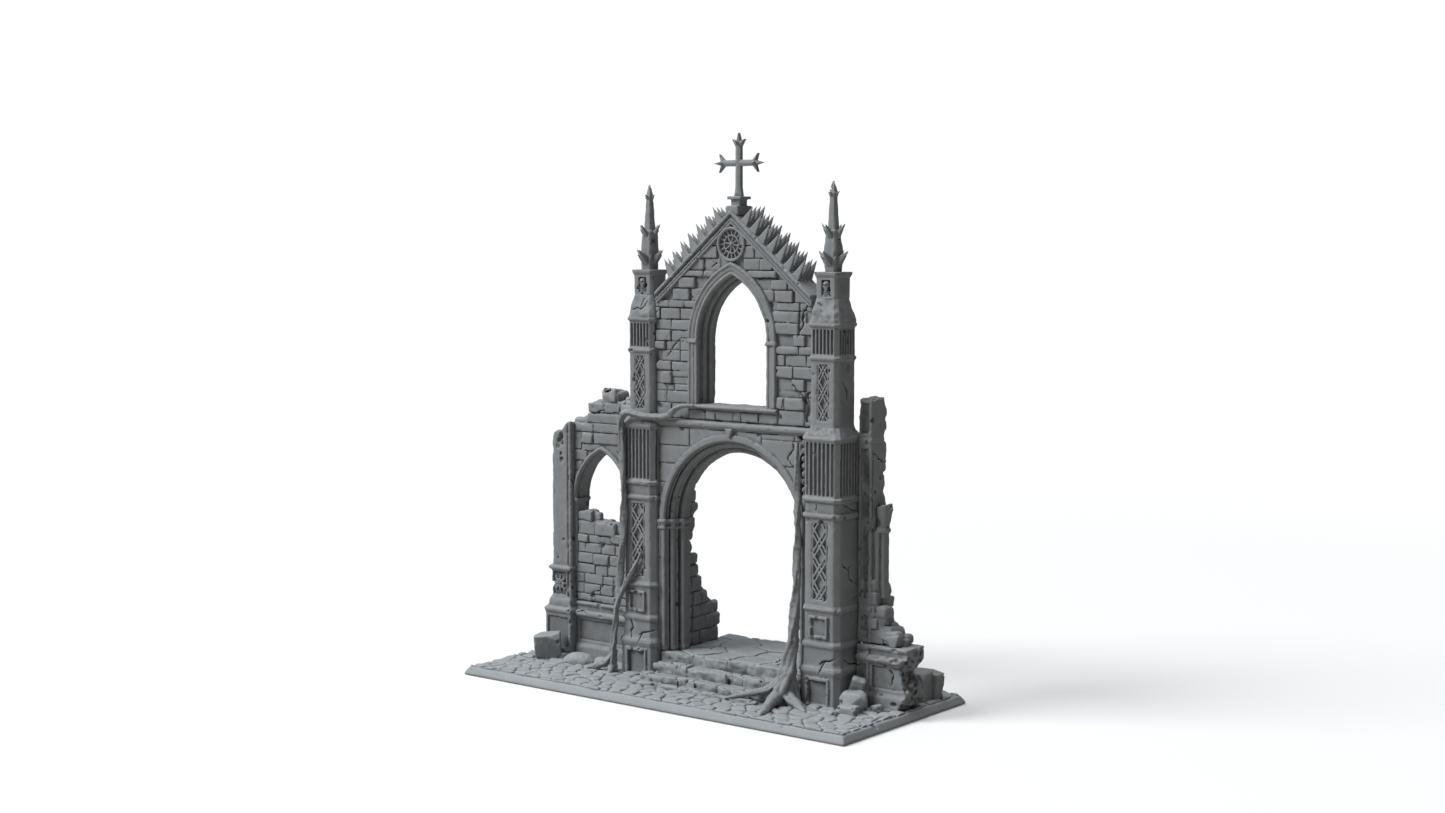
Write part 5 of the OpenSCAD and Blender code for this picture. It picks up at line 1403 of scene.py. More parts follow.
def crest_row(sign, row, rng):
    """Four leaning spikes, front to back, across one slope of the gable."""
    out = 6.1 + 4.25 * row
    near, far = out - 1.5, out + 1.5
    spikes = []
    for k in range(4):
        y = -4.2 + 2.63 * k
        size = rng.uniform(0.94, 1.05)
        base = [(MID_X + sign * q, y + dy, APEX_Z - 0.25 - q * SLOPE)
                for q, dy in ((near, -0.95), (far, -0.95), (far, 0.95), (near, 0.95))]
        tip = (MID_X + sign * min(out + 4.7 * size + rng.uniform(-0.3, 0.3), 39.4),
               y + rng.uniform(-0.3, 0.3), APEX_Z - out * SLOPE + 7.3 * size)
        spikes.append((base, tip))
    # the first spike sets the size of the grid
    base, tip = spikes[0]
    xs = [point[0] for point in base] + [tip[0]]
    grid = Grid((min(xs) - 0.8, -6.2, min(point[2] for point in base) - 0.2),
                (max(xs) + 0.8, 6.0, tip[2] + 1.2), 0.22)
    grid.add(*[spike(*entry) for entry in spikes])
    grid.dist += 0.02 * grid.noise(1.0, 5) + 0.04 * grid.noise(2.4, 6)
    return grid


rng = np.random.RandomState(9)
grids = [crest_row(sign, row, rng) for sign in (-1, 1) for row in range(7)]
cast("crest_spikes", *grids, adapt=0.001, small=30)

grid, X, Y, Z = node_grid("apex_pedestal", 0.24, (0.3, 0.3, 0.2))
grid.add(box(MID_X - 3.1, MID_X + 3.1, -4.9, 4.9, 196.6, 200.5),
         box(MID_X - 2.3, MID_X + 2.3, -2.5, 2.5, 200, 203.3),
         box(MID_X - 3.5, MID_X + 3.5, -3.6, 3.6, 203.0, 204.3, 0.14))
finish(grid, 365, wear=0.3, rough=0.6, pits=0.8, chips=5, chip_size=0.5)
cast("apex_pedestal", grid)

# cross outlines in (x from the centre line, z); the arm is the right one
CROSS_POST = [(-2.0, 204.3), (2.0, 204.3), (1.6, 206.2), (1.35, 208.0), (1.3, 224.2),
              (3.3, 227.3), (1.0, 226.4), (0, 230.0), (-1.0, 226.4), (-3.3, 227.3),
              (-1.3, 224.2), (-1.35, 208.0), (-1.6, 206.2)]
CROSS_ARM = [(0, 216.3), (7.2, 216.4), (9.9, 213.7), (8.9, 216.7), (12.6, 217.6), (8.9, 218.5),
             (9.9, 221.5), (7.2, 218.8), (0, 218.9)]
# spikes on the ends, front and back: x, z, half width, half height, lean x, lean z
CROSS_SPIKES = [(-7.4, 217.6, 1.0, 0.8, -2.0, 0), (7.4, 217.6, 1.0, 0.8, 2.0, 0),
                (0, 224.8, 0.8, 1.0, 0, 2.0)]
grid, X, Y, Z = node_grid("cross_finial", 0.18, (0.8, 2.8, 0.7))


def ridged(points):
    """Plate with a ridge along the middle of each limb."""
    flat = polygon(points, X - MID_X, Z)
    return np.maximum(flat, np.abs(Y) - 1.25 + 0.35 * np.clip(flat + 1.2, 0, 1.2))


arms = [ridged([(sign * x, z) for x, z in CROSS_ARM][::sign]) for sign in (-1, 1)]
grid.fill(join(ridged(CROSS_POST), *arms) + 0.015 * grid.noise(1.8, 5))
for face in (-1, 1):
    for x, z, a, c, lean_x, lean_z in CROSS_SPIKES:
        base = [(MID_X + x + dx, face * 0.4, z + dz)
                for dx, dz in ((-a, -c), (a, -c), (a, c), (-a, c))]
        grid.add(spike(base, (MID_X + x + lean_x, face * 3.2, z + lean_z)))
grid.clip(204.2 - Z)
cast("cross_finial", grid, adapt=0.0)

# ------------------------------------------------------------------ left wing
# front of the wing plinths in (y, z)
PLINTH = [(0.9, 3.6), (0.9, 8.6), (1.25, 9.2), (1.7, 9.9), (2.1, 10.4), (2.1, 21.2), (1.7, 21.7),
          (1.15, 22.1), (0.7, 22.6), (0.6, 23.4), (0.9, 24.1), (1.6, 24.5), (2.5, 24.9),
          (2.7, 26.2), (2.3, 26.8), (1.75, 27.2), (1.6, 27.8), (1.9, 28.4)]
grid, X, Y, Z = node_grid("left_wing_plinth", 0.3, (1.5, 0.4, 0.2))
grid.add(prism(PLINTH + [(12.2, 28.4), (12.2, 3.6)], -75.0, -40.2))
grid.cut(box(-73.3, -43, -1, 2.75, 11.6, 20.6, 0.15))
blocks(grid, courses(-75, -40.4, 4.2, 28.2, 35), 12.2, 1, seed=36)
dents(grid, (-70.2, 0.9, 24.2, 2.0, 0.9, 0.8, 15), (-66.4, 1.6, 26.6, 1.6, 1.0, 0.7, 15),
      (-60, 0.8, 23.2, 1.2, 0.6, 0.7, 15), (-52, 1.2, 9.4, 2.2, 0.8, 0.8, 15),
      (-48, 2.2, 27.8, 1.4, 0.6, 0.6, 15))
finish(grid, 400, wear=0.7, rough=0.9, pits=0.8, chips=16, chip_size=0.9)
grid.add(box(-76.3, -74.7, 3.6, 11.6, 3.6, 28.35, 0.1))
grid.clip(3.65 - Z)
cast("left_wing_plinth", grid)

WINDOW_X = -61


def window_distance(X, Z):
    return pointed(X, Z, 15, 23.6, WINDOW_X, 73.5)


# wall outlines are (x, z)
LEFT_WALL = [(-77.3, 43), (-77.3, 106.4), (-76, 108), (-72, 108.5), (-70, 110), (-69.5, 112),
             (-68, 114.5), (-66, 116), (-63.5, 116.4), (-50.8, 116.6), (-46, 116.6),
             (-39.7, 118), (-39.7, 43)]
LEFT_WALL_ROWS = table("""
    -77.2 -66.5 103.3 107.2 .1   -66.3 -50 103.3 107.4 .15    -73 -66.3 98.2 103.1 .8
    -66.1 -52 98.3 103.1 .1      -77.2 -73.2 95.4 103 0       -73 -62 95 98 0
    -70.5 -50 107.5 111.7 .1     -69 -60 112 116.2 .2         -59.8 -51 112.2 116.4 .1
    -49.8 -39.7 107.5 111.7 .3   -49.9 -39.7 103.3 107.3 0    -50.8 -44 112 116.2 .25
    -77.2 -70 90.6 95.2 .1       -77.2 -72.6 86 90.4 0        -77.2 -73.8 80 85.8 .1
    -52 -44 98.3 103 .2          -50.5 -39.7 93.6 98 0        -48.5 -39.7 88.6 93.4 .2""", 5)
grid, X, Y, Z = node_grid("left_wing_wall", 0.3, (0.3, 0.6, 1.2))
masonry(grid, LEFT_WALL, 3.75, 12.1, 21, LEFT_WALL_ROWS, keep=0.2)
# loose stones along the top
for row in ((-47.8, 8.4, 117.2, 2.2, 3.0, 2.3, -12, 2), (-44.6, 7.8, 119.4, 1.4, 2.6, 3.4, 20, 3),
            (-65.6, 8.2, 115.0, 2.6, 3.6, 1.8, 12, 4, 0.95),
            (-71.4, 8, 108.6, 2.0, 3.4, 1.2, -10, 5), (-61.6, 8.4, 117.0, 1.6, 3.0, 1.5, 25, 6)):
    stone(grid, *row)
grid.add(box(-61.8, -51.4, 4.2, 12.0, 115.2, 121.4, 1.5, rot(3, -5, 5)),
         box(-60.0, -54.2, 5.2, 11.0, 118, 121.6, 1.2, rot(-3, 4, 12)))
stone(grid, -57.4, 7.8, 119.6, 4.6, 3.8, 3.0, -8, 9, 0.88)
gash(grid, (-58, 5.4, 121.4), (2.8, 1.6, 0.8), 9, 5)
gash(grid, (-52, 4.8, 119.4), (0.8, 1.4, 1.6), 5, 6)
grid.clip(np.where(Z > 43.5, 1.55 - window_distance(X, Z), -9))
# broken hollow right of the window, with stones left in it
dents(grid, (-51.6, 3.2, 93.6, 1.1, 1.2, 2.2, -30), (-49.6, 3.0, 90, 0.9, 1.0, 1.4),
      (-53.4, 3.4, 96.4, 0.8, 0.8, 1.0))
for centre in ((-49.8, 4, 94.8), (-48.6, 4, 92.2), (-50.6, 4.2, 91.6)):
    grid.add(ellipsoid(centre, (1.0, 1.0, 0.8)))
finish(grid, 410, wear=0.9, rough=1.05, pits=1.3, chips=34)
grid.clip(43 - Z, X + 39.5)
cast("left_wing_wall", grid)

# moulding parts in (distance outward from the window's opening, y)
WINDOW_PARTS = [("bar", 0, 1.75, 3.4, 12.2, 0.2), ("roll", 1.0, 3.5, 0.95),
                ("cove", -0.1, 5.1, 0.75), ("roll", 0.2, 6.4, 0.6), ("roll", 0.25, 11.6, 0.6)]
grid, X, Y, Z = node_grid("left_window_arch", 0.28, (0.5, 0.6, 0.3))
out = window_distance(X, Z)
grid.fill(moulding(out, Y, WINDOW_PARTS), out - 1.9, 73.4 - Z)
for sign in (-1, 1):
    x = WINDOW_X + sign * 15.75
    inner, outer = WINDOW_X + sign * 14.4, WINDOW_X + sign * 17.2
    grid.add(capsule((x, 4.6, 43.2), (x, 4.6, 72.2), 1.1),
             box(inner, outer, 3.0, 12.2, 71.9, 72.8, 0.25),
             box(inner - sign * 0.3, outer + sign * 0.3, 2.7, 12.3, 72.6, 73.7, 0.35),
             box(inner + sign * 0.4, outer - sign * 0.8, 5, 12, 43, 72.4))
grid.clip(42.95 - Z)
finish(grid, 420, wear=0.6, rough=0.85, pits=1.0, chips=12, chip_size=0.8)
cast("left_window_arch", grid)

INFILL = [(-77.3, 28.4), (-77.3, 43), (-75.4, 43), (-75.4, 68.4), (-66.8, 68.4), (-66.4, 63.9),
          (-53.4, 63.9), (-53.2, 59.2), (-50.4, 58.6), (-46.6, 58), (-46.6, 43), (-39.7, 43),
          (-39.7, 28.4)]
INFILL_ROWS = table("""
    -75.3 -70.8 64.4 68.2 0     -70.7 -66.6 64.2 68.4 .55   -75.3 -65.4 58.2 64 0
    -65.2 -53.2 58.4 64.1 .85   -56 -50.4 55.2 59 .6        -75.3 -69.2 54.7 58 .7
    -69 -62 54.7 58 0           -62 -56.2 54.7 58 .1        -75.3 -71 50.2 54.4 0
    -70.9 -62 50.2 54.4 .1      -61.8 -54 50.2 54.4 0       -53.8 -47 50.2 54.4 .1
    -75.3 -66.3 45.6 50 .4      -66 -57.4 45.2 50 .8        -57.2 -50 45.4 50 .05
    -76.6 -65.4 41 45.1 0       -65.2 -58.3 40.6 45 .1      -58.1 -50 41 45.2 0
    -76.6 -71.8 36.8 40.8 .2    -71.6 -61 36.6 40.8 .05     -60.8 -54.8 36.8 40.4 .1
    -54.6 -45 36.8 40.8 0       -76.6 -72.2 32 36.6 -.1     -72 -62.4 32 36.4 .1
    -62.2 -55.4 32 36.6 0       -53.4 -45 32 36.6 .1        -76.6 -66 28.5 31.8 0
    -65.8 -54 28.5 31.8 .1      -53.8 -44 28.5 31.8 0""", 5)
grid, X, Y, Z = node_grid("left_window_infill", 0.3, (0.3, 0.6, 0.6))
masonry(grid, INFILL, 3.7, 9.0, 31, INFILL_ROWS, keep=1.2, core=0.6, r=0.32, tilt=0.7,
        heights=(4.4, 6.4), lengths=(6, 11), gap=0.04, proud=(-0.2, 0.12))
grid.add(box(-77.2, -39.9, 6, 12.0, 28.4, 42.8, 0.3))
blocks(grid, courses(-77.2, -39.8, 28.4, 43, 33), 12.0, 1, seed=34)
grid.add(box(-71.2, -66.5, 2.9, 9.0, 64.2, 68.9, 0.75, rot(2, 3, -4)),
         box(-65.2, -59.4, 3.2, 9.0, 58.4, 63.7, 0.45, rot(1, -1, 2)),
         box(-59.2, -53.2, 2.7, 9.0, 58.5, 64.4, 0.4, rot(-1, 2, -2)),
         box(-55.6, -50.4, 2.9, 8.6, 55.3, 59.3, 0.5, rot(0, -2, 3)))
finish(grid, 430, wear=0.9, rough=1.05, pits=1.3, chips=26)
grid.clip(28.3 - Z, np.where(Z > 43, np.maximum(-75.9 - X, X + 46.1), X + 39.6))
cast("left_window_infill", grid)

# end pier at each height: z, left x, front y, right x
PIER = [(3.6, -90, -1.9, -75.1), (22.6, -90, -1.9, -75.1), (23.0, -90.3, -2.2, -74.9),
        (23.5, -90.7, -2.6, -74.7), (24.5, -90.7, -2.6, -74.7), (25.2, -90.0, -1.9, -75.4),
        (25.9, -89.0, -1.0, -76.1), (28.2, -88.8, -0.7, -76.3), (28.6, -88.7, -0.6, -76.4),
        (29.4, -88.3, -0.1, -77.1), (29.9, -88.1, 0.2, -78.4), (30.4, -88.1, 0.2, -78.8),
        (41.0, -88.1, 0.2, -78.8), (41.5, -88.6, -0.3, -77.4), (42.0, -89.2, -0.8, -76.3),
        (43.0, -89.2, -0.8, -76.3), (43.5, -88.4, -0.1, -77.6), (44.0, -87.6, 0.5, -78.8),
        (107, -87.6, 0.5, -78.8)]
# broken top in (x, z)
PIER_TOP = [(-92, 40), (-92, 97.5), (-87.9, 99.4), (-87.0, 101.6), (-85.4, 103.0),
            (-83.0, 103.6), (-81.0, 105.2), (-80.2, 107.0), (-78.6, 107.6), (-76, 107.9),
            (-70, 108), (-70, 40)]
# centre x, y, z, size x, y, z, number of cuts
PIER_GASHES = [(-82.6, 0.4, 99.6, 1.3, 1.1, 3.0, 9), (-84.2, 0.4, 96.6, 0.9, 0.7, 1.6, 5),
               (-82.2, 0.5, 91.6, 0.7, 0.7, 2.4, 6), (-80.8, 0.5, 55, 0.9, 0.5, 0.5, 3),
               (-84.6, 0.4, 47, 0.4, 0.35, 1.5, 3), (-88, 4, 63, 0.5, 0.9, 0.7, 3),
               (-86.2, 0.4, 76, 0.3, 0.4, 1.4, 3), (-76, -2.4, 24.4, 1.0, 0.6, 0.6, 3),
               (-89.8, -2.2, 12, 0.5, 0.5, 1.4, 3)]
grid, X, Y, Z = node_grid("left_end_pier", 0.3, (0.5, 0.5, 0.4))
heights, *limits = zip(*PIER)
left, front, right = [grid.profile(heights, values) for values in limits]
across = np.maximum(left - X, X - right)
deep = np.maximum(front - Y, Y - (12.5 - (front - 0.5)))
grid.fill(corner(across + 0.2, deep + 0.2, 0.2))
grid.add(capsule((-77.9, 1.9, 29.4), (-77.9, 1.9, 107.5), 1.05),
         box(-79, -77.2, 2.2, 12.5, 29, 107.6, 0.3))
grid.cut(box(-87.2, -79.6, -3, 1.15, 30.6, 40.6, 0.15),
         box(-88.6, -76.8, -4, -1.15, 7.8, 21.0, 0.15))
grid.add(box(-87.9, -76.1, -2.35, -1.2, 3.7, 7.0, 0.3))
top = (polygon(PIER_TOP, X, Z) + 0.9 * grid.noise(1.6, 81) * smoothstep(98, 100, Z)
       + 0.4 * grid.noise(0.8, 82))
grid.clip(np.where(Z > 60, top, -9))
for *place, count in PIER_GASHES:
    gash(grid, place[:3], place[3:], count, int(place[2] * 7))
finish(grid, 440, wear=0.7, rough=1.0, pits=1.3, chips=30)
grid.clip(3.65 - Z)
cast("left_end_pier", grid)

grid, X, Y, Z = new_grid((-87.4, -0.6, 30.8), (-78.5, 1.6, 40.2), 0.17)
radius, angle = polar(X, Z, -83.3, 35.6)


def petals(count, r, out, stretch, y, offset=0.0):
    """Ring of round lobes; stretch below 1 lengthens them outward."""
    folded = sector(angle, count, offset)
    along, aside = radius * np.cos(folded) - out, radius * np.sin(folded)
    return np.sqrt(along ** 2 * stretch + aside ** 2 + (Y - y) ** 2 * 1.2) - r


rosette = join(
    np.maximum(radius - 2.1, np.abs(Y - 0.9) - 0.5),
    petals(8, 0.62, 2.1, 0.5, 0.65),
    petals(4, 0.6, 3.35, 0.45, 0.75, math.pi / 4),
    petals(4, 0.34, 3.3, 0.25, 0.85),
    roll(radius, Y, 1.25, 0.35, 0.22),
    roll(radius, Y, 0, 0.4, 0.62))
grid.fill(np.maximum(rosette, Y - 1.3) + 0.04 * grid.noise(0.9, 5))
cast("pier_rosette", grid, adapt=0.0)

# ------------------------------------------------------------------ right wing
# front of the pier at the left end of the plinth, in (y, z)
END_PLINTH = [(0.3, 3.6), (0.3, 8.8), (0.9, 9.8), (1.5, 10.6), (1.5, 22.4), (0.4, 23.2),
              (0.4, 24.3), (1.6, 25.0), (1.9, 26.2), (1.4, 27.2), (1.4, 28.4), (6, 28.4), (6, 3.6)]
grid, X, Y, Z = node_grid("right_wing_plinth", 0.32, (0.3, 0.5, 0.3))
grid.add(prism(PLINTH + [(14.6, 28.4), (14.6, 3.6)], 73.95, 99), prism(END_PLINTH, 73.95, 79.7))
grid.cut(box(81.2, 99, -1, 2.9, 11.6, 20.6, 0.15), box(74.9, 78.8, -1, 1.95, 11.6, 21.0, 0.12))
blocks(grid, courses(74.1, 97, 4.2, 28.2, 37), 14.6, 1, seed=38)
# broken right end
grid.clip(X - (95.4 - 1.6 * np.sin(Z * 0.42 + 0.6) + 1.3 * smoothstep(22, 27, Z))
          + 1.1 * grid.noise((1.6, 1.6, 1.3), 83) + 0.8 * grid.noise((0.9, 0.9, 0.7), 84))
rng = np.random.RandomState(44)
for _ in range(9):
    z, y = rng.uniform(5, 27), rng.uniform(2.6, 13.6)
    grid.cut(ellipsoid((95.4 - 1.6 * math.sin(z * 0.42 + 0.6) - 0.2, y, z),
                       rng.uniform(0.6, 1.9, 3), rot(*rng.uniform(-50, 50, 3))))
dents(grid, (84.4, 1.0, 24.4, 2.2, 0.9, 0.9, -15), (88.6, 1.2, 25.4, 1.2, 1.4, 1.5, 30),
      (92.6, 1.2, 24, 1.2, 1.2, 1.4, -20), (91.6, 1.6, 27.6, 1.4, 1.4, 1.0, 0),
      (86, 1.2, 9.6, 1.2, 0.8, 0.7, 0), (93.6, 1.4, 15, 1.0, 0.9, 2.4, 15),
      (92.2, 1.2, 6.4, 1.5, 0.9, 1.0, 0))
finish(grid, 450, wear=0.9, rough=1.1, pits=0.5, chips=34)
grid.clip(3.65 - Z, 73.9 - X)
cast("right_wing_plinth", grid)

WALL_X = 73.15  # left side of the standing part
STEPPED = [(WALL_X, 28.4), (92.2, 28.4), (91.8, 31.2), (88.4, 31.6), (87.8, 35.0), (84.6, 35.6),
           (84.0, 41.4), (82.8, 42.4), (82.6, 47.4), (80.8, 52), (79.4, 54), (WALL_X, 54)]
grid, X, Y, Z = node_grid("right_wing_wall", 0.3, (0.9, 0.6, 0.6))
grid.add(box(WALL_X, 79.2, 3.7, 14.9, 28.4, 128, 0.25))
for z0, z1 in ((30.2, 40.6), (43.9, 77.5), (80.5, 83.9), (86.7, 108)):
    grid.add(box(72.5, WALL_X + 0.8, 4.4, 14.2, z0, z1, 0.1))
grid.add(box(WALL_X, 79.5, 3.3, 13.8, 41.2, 43.0, 0.35),
         box(WALL_X, 79.5, 3.3, 13.6, 107.6, 109.4, 0.3))
grid.cut(box(WALL_X + 0.8, 77.7, -1, 4.75, 46.2, 105.4, 0.15),
         box(WALL_X + 0.8, 77.7, -1, 4.75, 111.4, 123.2, 0.15),
         box(WALL_X + 0.8, 77.7, -1, 4.5, 30.6, 39.6, 0.15),
         box(78.5, 81, 4.9, 5.5, 44, 105, 0.1))
# ragged back and top
back = (Y - (14.2 + 0.7 * np.sin(Z * 0.33) + 0.4 * np.sin(Z * 0.9 + 1))
        + 0.9 * grid.noise((1.6, 1.6, 2.4), 85) + 0.5 * grid.noise(0.9, 86))
top = (Z - (125.0 + 0.15 * np.sin(X * 1.1) + 0.2 * np.sin(Y * 0.6 + 1.2))
       + 0.3 * grid.noise(1.5, 87) + 0.3 * grid.noise(0.8, 88))
grid.clip(np.where(Z > 44, back, -9), top)
# stepped remains beside it
stepped = copy(grid)
stepped.dist = np.full_like(grid.dist, 4)
masonry(stepped, STEPPED, 3.9, 14.6, 61, keep=-0.2, core=1.0, r=0.8, tilt=3.5,
        heights=(4.2, 6.2), lengths=(4, 7), proud=(-0.3, 0.2))
for row in ((89.2, 8.6, 29.9, 2.8, 5.6, 2.4, 8, 11), (85.8, 8.8, 33.0, 2.8, 5.0, 2.6, -14, 12),
            (82.6, 9.2, 38.4, 2.3, 4.4, 2.9, 10, 13), (81.6, 10.6, 44.4, 1.9, 3.2, 2.6, -18, 14),
            (81.2, 11.6, 49.4, 1.7, 2.6, 2.4, 22, 15), (91.2, 10.4, 29.4, 1.9, 3.2, 1.6, 30, 16)):
    stone(stepped, *row, keep=0.9)
grid.dist = np.minimum(grid.dist, stepped.dist)
dents(grid, (79.6, 4.6, 76, 1.5, 1.2, 3.0, 20), (79.4, 5.2, 72.8, 1.0, 1.6, 1.8, -25),
      (77.8, 3.6, 62, 0.9, 0.8, 1.6, 15), (79.6, 8.4, 116.4, 0.6, 1.3, 1.0, 0),
      (79.5, 9.6, 113.6, 0.5, 1.0, 0.8, 0), (76, 4.6, 125, 1.8, 1.4, 1.0, 0),
      (79, 13.4, 78, 1.4, 2.2, 2.4, 0), (79.6, 12, 96, 1.0, 1.6, 3.0, 10))
finish(grid, 460, wear=0.6, rough=0.95, pits=1.3, chips=30)
grid.add(box(73.0, 75.4, 5.4, 13.6, 28.6, 108.6, 0.1))
grid.clip(28.3 - Z, 72.48 - X)
grid.add(box(72.24, 75, 4.6, 13.6, 44.4, 77.0, 0.1), box(72.34, 75, 4.6, 13.6, 87.0, 107.6, 0.1))
cast("right_wing_wall", grid)

# ribbed shaft on the wall's right side, leaning out above its ring: height, radius
SHAFT_Z = [45, 71.0, 72.2, 72.6, 73.2, 74.0, 74.6, 82.8, 86]
SHAFT_RADIUS = [2.25, 2.2, 2.35, 2.95, 3.05, 2.8, 2.35, 3.25, 3.4]
grid, X, Y, Z = new_grid((78.9, 5.0, 45.8), (86.4, 12.6, 85.2), 0.26)
lean = 0.10 * np.clip(Z - 74.0, 0, 20)
away = np.sqrt((X - 81.5 - lean) ** 2 + (Y - 8.9) ** 2)
ribs = 0.16 * np.cos(np.arctan2(Y - 8.9, X - 81.5) * 5 + 0.8) * (np.abs(Z - 73.2) > 1.2)
grid.fill(away - grid.profile(SHAFT_Z, SHAFT_RADIUS) + ribs, 79.22 - X,
          Z - (82.6 + 0.24 * (X - 81.5) + 0.5 * np.sin(Y * 1.3)) + 0.5 * grid.noise(1.2, 89))
grid.add(box(79.1, 81.4, 5.6, 12.2, 46.8, 73, 0.3))
dents(grid, (80.4, 6.6, 76.4, 1.4, 1.0, 1.8), (84.6, 9, 82.6, 1.0, 1.4, 0.9))
finish(grid, 470, wear=0.8, rough=1.0, pits=1.2, chips=10)
grid.clip(79.2 - X, 46.4 - Z)
cast("right_window_shaft", grid)

# wall that runs back from the left tower: outline in (y, z)
RETURN_WALL = [(5, 14.6), (27.8, 14.6), (28.6, 20), (27.2, 25), (26.0, 28.6), (24.4, 33),
               (19.8, 36.4), (18.2, 42), (13.4, 43.4), (12.4, 47), (8.8, 55.6), (8.6, 60.4),
               (12.2, 63.4), (12.6, 70.4), (15.2, 72), (14.4, 76.4), (11.0, 78), (11.4, 83),
               (8.2, 88), (5, 90)]
grid, X, Y, Z = node_grid("return_wall", 0.3, (0.7, 0.6, 0.6))
masonry(grid, RETURN_WALL, -19.6, -15.3, 51, heights=(4.2, 6.6), lengths=(4.5, 8.5), keep=0.1,
        core=1.1, axis="x", tilt=3.0, r=0.7, proud=(-0.3, 0.45))
grid.add(box(-19.0, -16.2, 5, 8.6, 14.8, 84, 0.4))
finish(grid, 480, wear=1.0, rough=1.15, pits=1.3, chips=26)
grid.clip(14.6 - Z, 5.0 - Y)
cast("return_wall", grid)


# ------------------------------------------------------------------ root and vine
def limb(grid, seed, *stations):
    """A gnarled stem with long ridges through stations (x, y, z, radius)."""
    path = [np.array(station[:3], float) for station in stations]
    rng = np.random.RandomState(seed)
    points, radii = [], []
    last = len(path) - 1
    for i in range(last):
        p0, p1, p2, p3 = path[max(i - 1, 0)], path[i], path[i + 1], path[min(i + 2, last)]
        r0, r1 = stations[i][3], stations[i + 1][3]
        count = max(2, int(np.linalg.norm(p2 - p1) / 2.2))
        for j in range(count):
            t = j / count
            point = 0.5 * ((2 * p1) + (-p0 + p2) * t + (2 * p0 - 5 * p1 + 4 * p2 - p3) * t * t
                           + (-p0 + 3 * p1 - 3 * p2 + p3) * t ** 3)
            points.append(point + rng.uniform(-0.16, 0.16, 3))
            radii.append((r0 + (r1 - r0) * t) * rng.uniform(0.9, 1.1))
    points.append(path[-1])
    radii.append(stations[-1][3])
    for i in range(len(points) - 1):
        grid.add(capsule(points[i], points[i + 1], radii[i], radii[i + 1]), blend=0.5)

    def offset(turn, r):
        return np.array((math.cos(turn), math.sin(turn) - 0.3, 0)) * r * 0.8

    for ridge in range(3):
        phase = ridge * 2.1 + rng.uniform(0, 1)
        for i in range(len(points) - 1):
            if radii[i] < 0.7:
                continue
            turn = phase + i * 0.22
            grid.add(capsule(points[i] + offset(turn, radii[i]),
                             points[i + 1] + offset(turn + 0.22, radii[i + 1]),
                             radii[i] * 0.4, radii[i + 1] * 0.4), blend=0.25)


def bark(grid, seed):
    grid.fill(grid.dist + 0.10 * grid.noise((0.7, 0.7, 3.2), seed)
              + 0.12 * grid.noise((1.6, 1.6, 4.5), seed + 1) + 0.05 * grid.noise(0.6, seed + 2))


grid, X, Y, Z = new_grid((28, -42, 3.0), (70, -5.5, 110), 0.34)
limb(grid, 1, (50.6, -14.0, 4.4, 4.6), (50.9, -13.4, 12, 3.7), (51.6, -11.6, 22, 2.6),
     (52.2, -9.8, 34, 1.9), (52.4, -9, 50, 1.5), (52.5, -8.4, 66, 1.3), (52.5, -8.3, 82, 1.15),
     (52.2, -8.2, 96, 1.0), (51.4, -7.7, 106, 0.6))
limb(grid, 2, (50.0, -14.6, 10, 3.4), (49.8, -17.4, 7.2, 2.9), (51.2, -24, 5.8, 2.2),
     (53.6, -31, 4.9, 1.6), (55.8, -37.5, 4.0, 0.8))
limb(grid, 3, (51.2, -14.6, 9, 3.0), (56.2, -16.6, 6.4, 2.2), (61, -18.8, 5.2, 1.6),
     (66, -22, 4.2, 0.7))
limb(grid, 4, (49.4, -13.6, 14, 2.2), (46.6, -15.6, 10.6, 1.9), (43.0, -18.6, 8.6, 1.35),
     (38.6, -21.6, 7.2, 1.05), (34.4, -24.0, 6.4, 0.85), (30.2, -26.2, 5.2, 0.5))
limb(grid, 5, (52.6, -13.6, 16, 2.0), (54.2, -12.2, 9, 2.0), (56.4, -13.6, 4.2, 1.6))
limb(grid, 6, (49.2, -12.6, 17, 2.0), (48.2, -12.6, 9, 2.0), (46.6, -13.4, 4.4, 1.5))
limb(grid, 7, (52.9, -8.9, 40, 0.7), (53.6, -9.2, 54, 0.75), (53.2, -8.8, 64, 0.5))
bark(grid, 90)
grid.clip(3.6 - Z)
cast("tree_root", grid, slot="growth_casting", material=GROWTH)

# the vine is meshed in two parts that meet at this height
VINE_SPLIT = 59.0
lower, X, Y, Z = new_grid((-54, -22, 3.0), (-28, -9.0, 60), 0.34)
limb(lower, 11, (-40.8, -12.6, 4.3, 2.0), (-40.9, -12.4, 12, 1.35), (-40.4, -12.0, 22, 1.15),
     (-39.4, -11.6, 32, 1.15), (-38.0, -11.2, 44, 1.3), (-37, -10.9, 54, 1.3),
     (-36.6, -10.8, 62, 1.25))
limb(lower, 12, (-40.8, -12.4, 11.4, 1.3), (-43.4, -13.2, 8.4, 1.9), (-47.2, -14.4, 6.4, 1.7),
     (-50.8, -15.4, 5.0, 1.3), (-53.2, -16.4, 4.0, 0.6))
limb(lower, 13, (-41, -12.8, 6.6, 1.5), (-40.0, -15.4, 5.0, 1.1), (-38.6, -18.2, 4.1, 0.6))
limb(lower, 14, (-39.8, -11.7, 30, 1.0), (-36.8, -11.2, 38.6, 1.1), (-33.0, -10.6, 45.4, 1.0),
     (-29.4, -10.1, 52, 0.85), (-27, -9.8, 57, 0.5))
limb(lower, 15, (-38.6, -11.6, 38, 0.6), (-39.2, -10.6, 47, 0.7), (-38.2, -10.2, 56, 0.55))
bark(lower, 93)
lower.clip(3.6 - Z, Z - VINE_SPLIT)
upper, X, Y, Z = new_grid((-42, -14, 58), (0, -6.2, 121), 0.36)
